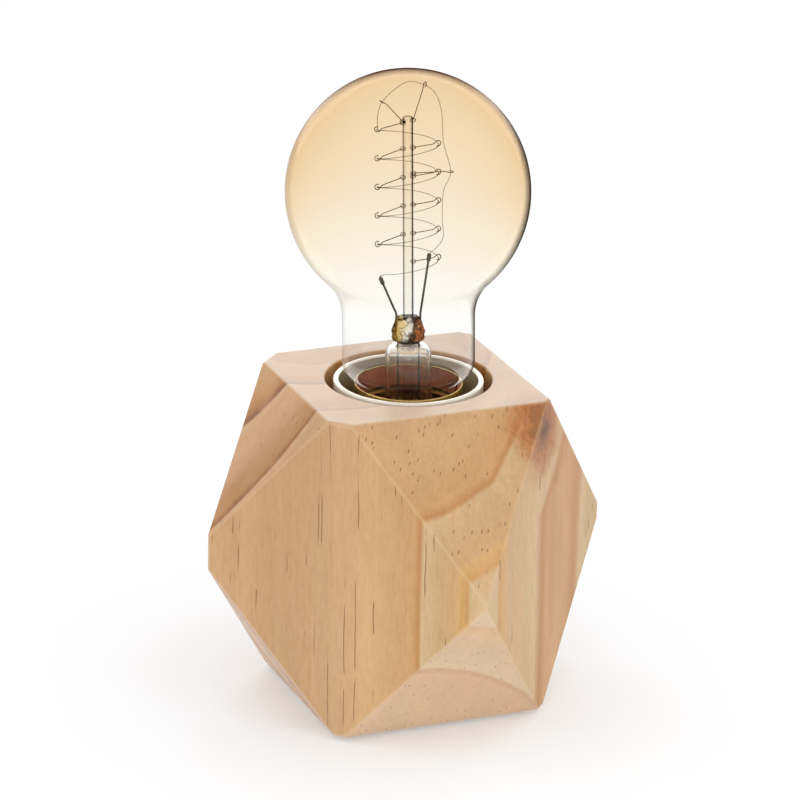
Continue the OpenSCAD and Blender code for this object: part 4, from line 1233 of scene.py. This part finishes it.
# Each kind of screw: the radius and height of its head, and the radius and length of its shank; and where
# its head ends
PLATE_SCREW = (2.2, 1.0, 1.2, 12)
FIXING_SCREW = (2.2, 1.0, 1.2, 9)
BRACKET_SCREW = (2.5, 2.0, 1.5, 9.5)
BRACKET_SCREW_TOP = SEAT_Z + 3
HOLDER_SCREW = (1.9, 1.6, 1.2, 19)
HOLDER_SCREW_TOP = 42
TERMINAL_SCREW = (2.4, 1.8, 1.4, 1.85)
TERMINAL_SCREW_TOP = 42.5
CLAMP_SCREW = (1.7, 1.8, 1.2, 2.85)
CLAMP_SCREW_TOP = 12


def make_all_screws():
    """All screws, those of the holder at the places that their CAD boxes give."""
    ring = [(*around(PLATE_SCREW_R, turn), PLATE_Z) for turn in PLATE_SCREW_TURNS]
    make_screws("plate_screws", "base_plate_screws", ring, PLATE_SCREW, 4, countersunk=True)
    middle = [(0, 0, PLATE_Z)]
    make_screws("connector_screw_below", "connector_fixing_screw", middle, FIXING_SCREW, 8, countersunk=True)
    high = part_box("bracket_screws")[1]
    y = high.y / MM - BRACKET_SCREW[0]
    pair = [(0, -y, BRACKET_SCREW_TOP), (0, y, BRACKET_SCREW_TOP)]
    make_screws("bracket_pair", "bracket_screws", pair, BRACKET_SCREW, 5)
    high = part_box("holder_screws")[1]
    x = high.x / MM - HOLDER_SCREW[0]
    pair = [(x, x, HOLDER_SCREW_TOP), (-x, -x, HOLDER_SCREW_TOP)]
    make_screws("sleeve_pair", "holder_screws", pair, HOLDER_SCREW, 6)
    low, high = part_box("terminal_screws")
    head_r = TERMINAL_SCREW[0]
    pair = [(x, 0, TERMINAL_SCREW_TOP) for x in (low.x / MM + head_r, high.x / MM - head_r)]
    make_screws("terminal_pair", "terminal_screws", pair, TERMINAL_SCREW, 7)
    tops = [(x, y, CLAMP_SCREW_TOP) for x in (-4, 4) for y in (-4.5, 4.5)]
    make_screws("clamp_screws", "connector_screws", tops, CLAMP_SCREW, 9, flip=1.0)


# ---------------- glass


def glass_side(inset):
    """Outline of the glass from its crown to the tube in the cap, moved in by inset."""
    reach = NECK_R + NECK_SWEEP_R
    sweep_z = HEAD_Z - math.sqrt((HEAD_R + NECK_SWEEP_R) ** 2 - reach ** 2)
    join = math.degrees(math.atan2(sweep_z - HEAD_Z, reach))
    return [
        (0, HEAD_Z + HEAD_R - inset),
        *arc((0, HEAD_Z), HEAD_R - inset, 89, join, 64),
        *arc((reach, sweep_z), NECK_SWEEP_R + inset, join + 180, 180, 16)[1:],
        *arc((NECK_R - 5, 6), 5 - inset, 0, -78, 14),
        (12.4 - inset, 0), (TUBE_R - inset, -5), (TUBE_R - inset, FLARE_Z)
    ]


def in_glass(mesh, turn=0.0):
    """Sets a mesh counted from the cap's rim in its place, turned and leaning as the glass does."""
    axis = Vector((math.sin(STEM_TURN), -math.cos(STEM_TURN), 0))
    return moved(mesh, turned_about("Z", turn), Matrix.Rotation(LEAN, 4, axis), shift(z=CAP_RIM_Z))


def make_bulb_glass():
    wall = glass_side(0) + list(reversed(glass_side(GLASS_T)))
    glass = with_material(lathe("glass", wall, steps=160, closed=False, smooth_below=60), BULB_GLASS)
    glass.materials.append(INNER_WALL)
    for face in glass.polygons:
        x, y, z = face.center
        inward = face.normal.dot(Vector((x, y, max(0, z - HEAD_Z * MM)))) < 0
        face.material_index = 1 if inward else 0
    piece("bulb_envelope", in_glass(glass), "bulb", "bulb_glass")


def make_flare():
    land = TUBE_R - 1
    sweep = land - STEM_R
    wall = 0.8
    dome = 2.9
    base = FLARE_Z - 1
    profile = [
        (0, PINCH_Z - wall), *arc((STEM_R - dome, PINCH_Z - dome), dome - wall, 90, 0, 14),
        *arc((land, FLARE_Z + sweep), sweep + wall, 180, 250, 14), (land - 0.6, base),
        (TUBE_R, base), (TUBE_R, FLARE_Z), *arc((land, FLARE_Z + sweep), sweep, 270, 180, 16),
        *arc((STEM_R - dome, PINCH_Z - dome), dome, 0, 90, 14), (0, PINCH_Z)
    ]
    flare = in_glass(lathe("flare", profile, steps=96, closed=False, smooth_below=50), STEM_TURN)
    piece("clear_stem_flare", flare, "bulb", "stem_flare", STEM_GLASS)


def make_pinch():
    """The pressed glass at the stem's top: a squeezed lump with the facets and folds that the jaws left."""
    rows = 9
    sides = 14
    depth = PINCH_T / 2 - 0.1
    width = PINCH_W / 2 - 0.15

    def build(shell):
        rings = []
        for i in range(rows + 1):
            t = i / rows
            z = PINCH_Z + PINCH_H * t
            belly = 0.78 + 0.22 * math.sin(math.pi * min(1.0, t * 1.25)) ** 0.5
            end = 0.8 if i in (0, rows) else 1.0
            ring = []
            for k in range(sides):
                a = 2 * math.pi * (k + 0.5 * (i % 2)) / sides
                fold = 1 - 0.13 * (0.5 + 0.5 * math.sin(2.7 * k + 4.1 * i) * math.sin(1.9 * i + k))
                across = width * belly * end * fold * math.cos(a)
                ring.append(shell.verts.new((across * MM, depth * end * fold * math.sin(a) * MM, z * MM)))
            rings.append(ring)
        for i, (low, high) in enumerate(zip(rings, rings[1:])):
            for k in range(sides):
                ahead = k + i % 2
                a, b = low[k], low[(k + 1) % sides]
                c, d = high[ahead % sides], high[(ahead + 1) % sides]
                shell.faces.new((a, b, c))
                shell.faces.new((b, d, c))
        shell.faces.new(rings[0])
        shell.faces.new(rings[-1])
    mesh = in_glass(mesh_from("pinch", build, 12), STEM_TURN)
    piece("pressed_pinch", mesh, "bulb", "stem_pinch", PINCH_GLASS)


# ---------------- hooks and filament, from the cap's rim up


def polar(radius, angle, height):
    return Vector((radius * math.cos(angle), radius * math.sin(angle), height))


def left_level(turn):
    return COIL_TOP - TURN_DROP * turn


def right_level(turn):
    return COIL_TOP - BACK_DROP - TURN_DROP * turn


def square_to(vector, axis):
    return (vector - vector.dot(axis) * axis).normalized()


ROOT = ROD_R + 0.1
ARC_LEFT = Vector((-0.84 * HOOK_REACH, 0, HEAD_Z + 23.6))
ARC_RIGHT = Vector((0.56 * HOOK_REACH, 0, HEAD_Z + 26.7))
ARC_TOP = Vector((0.06 * HOOK_REACH, 0, HEAD_Z + 28))
RETURN_TURN = math.radians(-35)
RETURN_R = HOOK_REACH + 0.9
RETURN_HOOK = (RETURN_R + 1.8, HEAD_Z + 5.8)
LIVE_BLOB = Vector((-0.89 * HOOK_REACH, 0.1 * HOOK_REACH, COIL_BOTTOM - 3.6))
NEUTRAL_BLOB = Vector((0.61 * HOOK_REACH, -0.25 * HOOK_REACH, COIL_BOTTOM + 2))


def hooks():
    """For each hook: where its wire leaves the rod, its loop's middle, and the filament's way through it."""
    level_way = Vector((0, 1, 0))
    found = []
    for n in range(TURNS + 1):
        lift = BACK_DROP - TURN_DROP + 1.2 if n == 0 else 0
        root = polar(ROOT, math.pi, right_level(n - 1) - 0.3 + lift)
        way = Vector((0, 1, -1)).normalized() if n == 0 else level_way
        found.append((root, Vector((-HOOK_REACH, 0, left_level(n))), way))
    for n in range(TURNS + 1):
        level = right_level(n)
        found.append((polar(ROOT, 0, level - 0.3), Vector((HOOK_REACH, 0, level)), level_way))
    crown = ROD_TOP - 1.2
    found.append((polar(ROOT, math.pi, crown), ARC_LEFT, Vector((0.5, 0, 0.8)).normalized()))
    found.append((polar(ROOT, 0, crown), ARC_RIGHT, Vector((0.9, 0, -0.4)).normalized()))
    reach, height = RETURN_HOOK
    root = polar(ROOT, RETURN_TURN, height - 1)
    found.append((root, polar(reach, RETURN_TURN, height), Vector((0, 0, 1))))
    return found


def hook_path(root, middle, way):
    back = square_to(root - middle, way)
    aside = way.cross(back)
    turns = [math.radians(a) for a in range(40, 325, 15)]
    loop = [middle + HOOK_R * (math.cos(a) * back + math.sin(a) * aside) for a in turns]
    start = middle + 2 * HOOK_R * back
    lead = [root.lerp(start, t / 4) for t in range(4)]
    return lead + smooth_run([root.lerp(start, 0.8), start, loop[0], loop[1]], 6)[6:13] + loop[1:]


def smooth_run(points, steps):
    """Smooth curve through points."""
    run = []
    last = len(points) - 1
    for i in range(last):
        a, b = points[max(i - 1, 0)], points[i]
        c, d = points[i + 1], points[min(i + 2, last)]
        for s in range(steps):
            t = s / steps
            run.append(0.5 * (
                2 * b + (c - a) * t + (2 * a - 5 * b + 4 * c - d) * t * t + (3 * b - a - 3 * c + d) * t ** 3
            ))
    run.append(points[last])
    return run


def coil_point(half):
    turn = math.floor(half / 2)
    rest = half - 2 * turn
    level = left_level(turn) - BACK_DROP * rest if rest < 1 else right_level(turn) - FRONT_DROP * (rest - 1)
    return Vector((-HOOK_REACH * math.cos(math.pi * half), WAIST * math.sin(math.pi * half), level))


def filament_path():
    """One wire: from the right lead-in over the crown, round the rod turn by turn, to the left lead-in."""
    hook_r, hook_z = RETURN_HOOK
    mid_height = (hook_z + NEUTRAL_BLOB.z) / 2 - 1
    return_leg = smooth_run([
        ARC_RIGHT, Vector((0.86 * HOOK_REACH, -0.16 * HOOK_REACH, ARC_RIGHT.z - 2.2)),
        polar(RETURN_R - 0.4, RETURN_TURN, ARC_RIGHT.z - 6), polar(RETURN_R, RETURN_TURN, hook_z + 7.5),
        polar(hook_r, RETURN_TURN, hook_z), polar(RETURN_R, RETURN_TURN, hook_z - 5),
        polar(RETURN_R - 0.3, RETURN_TURN, mid_height),
        polar(RETURN_R - 0.2, RETURN_TURN + math.radians(3), NEUTRAL_BLOB.z + 4.6),
        NEUTRAL_BLOB + Vector((1.3, -1.1, 1.6)), NEUTRAL_BLOB + Vector((0.15, -0.05, 0.2))
    ], 8)
    top = left_level(0)
    over = smooth_run([
        Vector((-HOOK_REACH, 0, top)), Vector((-0.99 * HOOK_REACH, 0, top + 3.4)), ARC_LEFT,
        ARC_LEFT.lerp(ARC_TOP, 0.5) + Vector((0, 0, 0.8)), ARC_TOP, ARC_RIGHT
    ], 8)
    steps = 24
    half_turns = 2 * TURNS + 1
    coil = [coil_point(i / steps) for i in range(1, half_turns * steps + 1)]
    sweep = []
    for i in range(2, steps - 3, 2):
        p = coil_point(half_turns + i / steps)
        sweep.append(p.lerp(Vector((p.x, p.y, LIVE_BLOB.z + 1.4)), i / steps))
    tail = [
        Vector((-0.94 * HOOK_REACH, -0.05 * HOOK_REACH, LIVE_BLOB.z + 0.7)),
        LIVE_BLOB + Vector((-0.03, -0.1, 0.15))
    ]
    whole = list(reversed(return_leg)) + list(reversed(over))[1:] + coil
    return whole + smooth_run([coil[-1]] + sweep + tail, 3)[1:]


def make_rod():
    """Glass rod with a bead melted on for each support."""
    foot = PINCH_Z + PINCH_H - 1
    shaft = lathe("shaft", [
        (0, foot), (ROD_R, foot), (ROD_R, ROD_TOP - 0.6), (ROD_R - 0.2, ROD_TOP - 0.2),
        (ROD_R - 0.6, ROD_TOP), (0, ROD_TOP)
    ], steps=40, closed=False)

    def build(shell):
        bmesh.ops.create_uvsphere(shell, u_segments=20, v_segments=12, radius=0.75 * MM)

    parts = [shaft]
    squash = Matrix.Diagonal((1, 1, 0.8, 1))
    for root, _, _ in hooks():
        out = Vector((root.x, root.y, 0)).normalized() * (ROD_R + 0.05)
        parts.append(moved(mesh_from("bead", build, 60), squash, shift(out.x, out.y, root.z)))
    mesh = joined_meshes("rod", parts)
    smooth(mesh, 50)
    piece("glass_rod_with_beads", in_glass(mesh, HOOK_TURN), "bulb", "stem_rod", ROD_GLASS)


def make_filament():
    wires = path_mesh([hook_path(*hook) for hook in hooks()])
    supports = WIRE.grow(wires, DARK_WIRE, Radius=0.8 * HOOK_WIRE_R * MM, Sides=8)
    piece("hook_wires", in_glass(supports, HOOK_TURN), "bulb", "filament_supports")
    wound = COIL.grow(
        path_mesh([filament_path()]), TUNGSTEN, Coil_Radius=0.085 * MM, Coil_Pitch=0.2 * MM,
        Wire_Radius=0.044 * MM, Steps=8
    )
    piece("wound_filament_wire", in_glass(wound, HOOK_TURN), "bulb", "filament")


def tube_along(name, path, radii, sides=14):
    """Tube through points with a radius at each, closed at both ends."""
    def build(shell):
        side = None
        rings = []
        for i, p in enumerate(path):
            way = (path[min(i + 1, len(path) - 1)] - path[max(i - 1, 0)]).normalized()
            side = square_to(side or Vector((0.3, 1, 0.1)), way)
            other = way.cross(side)
            rings.append([
                shell.verts.new((p + radii[i] * (
                    math.cos(2 * math.pi * k / sides) * side + math.sin(2 * math.pi * k / sides) * other
                )) * MM) for k in range(sides)
            ])
        for low, high in zip(rings, rings[1:]):
            for k in range(sides):
                shell.faces.new((low[k], low[(k + 1) % sides], high[(k + 1) % sides], high[k]))
        shell.faces.new(rings[0])
        shell.faces.new(rings[-1])
    return mesh_from(name, build, 50)


def make_lead_in(name, node, x, blob):
    """Stout wire out of the pinch, with a folded clamp round the filament's end."""
    top = (turned_about("Z", HOOK_TURN - STEM_TURN) @ blob.to_4d()).to_3d()
    foot = Vector((x, 0, PINCH_Z + 2.2))
    bend = Vector((x, 0, PINCH_Z + PINCH_H + 0.6))
    aim = (top - bend).normalized()
    knee = smooth_run([foot, foot.lerp(bend, 0.7), bend, bend + 2.2 * aim, top - 2.6 * aim], 5)
    thin = 0.28
    path = knee + [top - d * aim for d in (2.2, 1.95, 1.7, 1.1, 0.5, 0.25, 0.0)]
    radii = [thin] * len(knee) + [thin, 0.48, 0.55, 0.5, 0.55, 0.45, thin]
    mesh = tube_along(name, path, radii)
    piece(name, in_glass(mesh, STEM_TURN), "bulb", node, NICKEL)


# ---------------- floor, light


def make_stage():
    bpy.ops.mesh.primitive_plane_add(size=8, location=(0, 0, 0))
    floor = bpy.context.object
    floor.name = "floor"
    f = Finish("pale_floor")
    grain = f.noise(6, detail=2)
    tone = f.mix(f.between(grain, 0.3, 0.7), (0.78, 0.8, 0.82, 1), (0.77, 0.79, 0.81, 1))
    matte = f.put("ShaderNodeBsdfDiffuse", {"Color": tone})[0]
    lift = f.put("ShaderNodeEmission", {"Color": (1, 1, 1, 1), "Strength": 0.22})[0]
    floor.data.materials.append(f.done(f.put("ShaderNodeAddShader", {0: matte, 1: lift})[0]))


def make_world():
    world = bpy.data.worlds.new("studio")
    bpy.context.scene.world = world
    world.use_nodes = True
    world.node_tree.nodes.clear()
    g = Graph(world.node_tree)
    sky = g.put("ShaderNodeBackground", {"Color": (1, 1, 1, 1), "Strength": 1.0})[0]
    g.put("ShaderNodeOutputWorld", {"Surface": sky})


def lamp(name, spot, size, power, target=(0, 0, 0.08)):
    data = bpy.data.lights.new(name, "AREA")
    data.shape = "DISK"
    data.size = size
    data.energy = power
    obj = linked(name, data)
    way = Vector(target) - Vector(spot)
    obj.matrix_world = Matrix.Translation(spot) @ way.to_track_quat("-Z", "Y").to_matrix().to_4x4()
    obj.visible_camera = False
    obj.visible_glossy = False


def flag(name, across, away, low, high, width, colour, strength=1.0, in_glass_only=False):
    """Upright card behind the lamp that only its reflections see, as studio flags are used."""
    middle = across * TO_RIGHT + away * BEHIND
    left, right = middle - width / 2 * TO_RIGHT, middle + width / 2 * TO_RIGHT
    outline = ((left, low), (right, low), (right, high), (left, high))
    corners = [Vector((place.x, place.y, z)) * MM for place, z in outline]
    mesh = bpy.data.meshes.new(name)
    mesh.from_pydata(corners, [], [(0, 1, 2, 3)])
    f = Finish(name)
    mesh.materials.append(f.done(f.put("ShaderNodeEmission", {"Color": colour, "Strength": strength})[0]))
    card = linked(name, mesh)
    card.visible_camera = False
    card.visible_diffuse = False
    card.visible_shadow = False
    card.visible_glossy = not in_glass_only
    card.visible_transmission = in_glass_only


def make_light():
    lamp("overhead", (0, -0.1, 1.5), 1.4, 1.0)
    in_front = -0.9 * BEHIND + 0.1 * TO_RIGHT + Vector((0, 0, 0.06))
    lamp("low_front", in_front, 0.5, 1.5, target=(0, 0, 0.03))
    flag("white_flag_behind", 0, 500, 100, 420, 900, (1, 0.98, 0.95, 1), strength=2.3)
    flag("dark_flag_for_glass", 130, 160, 2, 260, 110, (0.02, 0.015, 0.01, 1), in_glass_only=True)


make_wood_block()
make_cord_bush()
make_base_plate()
make_feet()
make_sleeve()
make_shell()
make_cap()
make_all_screws()
make_bulb_glass()
make_flare()
make_pinch()
make_rod()
make_filament()
make_lead_in("left_lead_in_wire", "live_lead_in", -3, LIVE_BLOB)
make_lead_in("right_lead_in_wire", "neutral_lead_in", 3, NEUTRAL_BLOB)

# Inner pieces whose CAD shape is kept
for material, nodes in (
    (ZINC, ["holder_bracket", "mounting_nipple", "nipple_washer", "nipple_lock_washer", "nipple_nut"]),
    (PORCELAIN, ["holder_base"]),
    (BRASS, ["shell_rivet", "contact_foot", "centre_contact", "live_terminal", "neutral_terminal"]),
    (BRASS, ["connector_sleeves", "cap_contact"]),
    (SCREW_STEEL, ["contact_screw"]),
    (BROWN_LEAD, ["live_lead"]),
    (BLUE_LEAD, ["neutral_lead"]),
    (NYLON, ["connector_body"]),
    (BLACK_GLASS, ["cap_insulator"]),
    (SOLDER, ["contact_solder"]),
    (CEMENT, ["cap_cement"]),
    (TUBE_GLASS, ["exhaust_tube"]),
    (NICKEL, ["live_cap_wire", "neutral_cap_wire"]),
):
    for node in nodes:
        finish_node(node, material)

make_stage()
make_world()
make_light()
bpy.context.scene.view_settings.view_transform = "Standard"
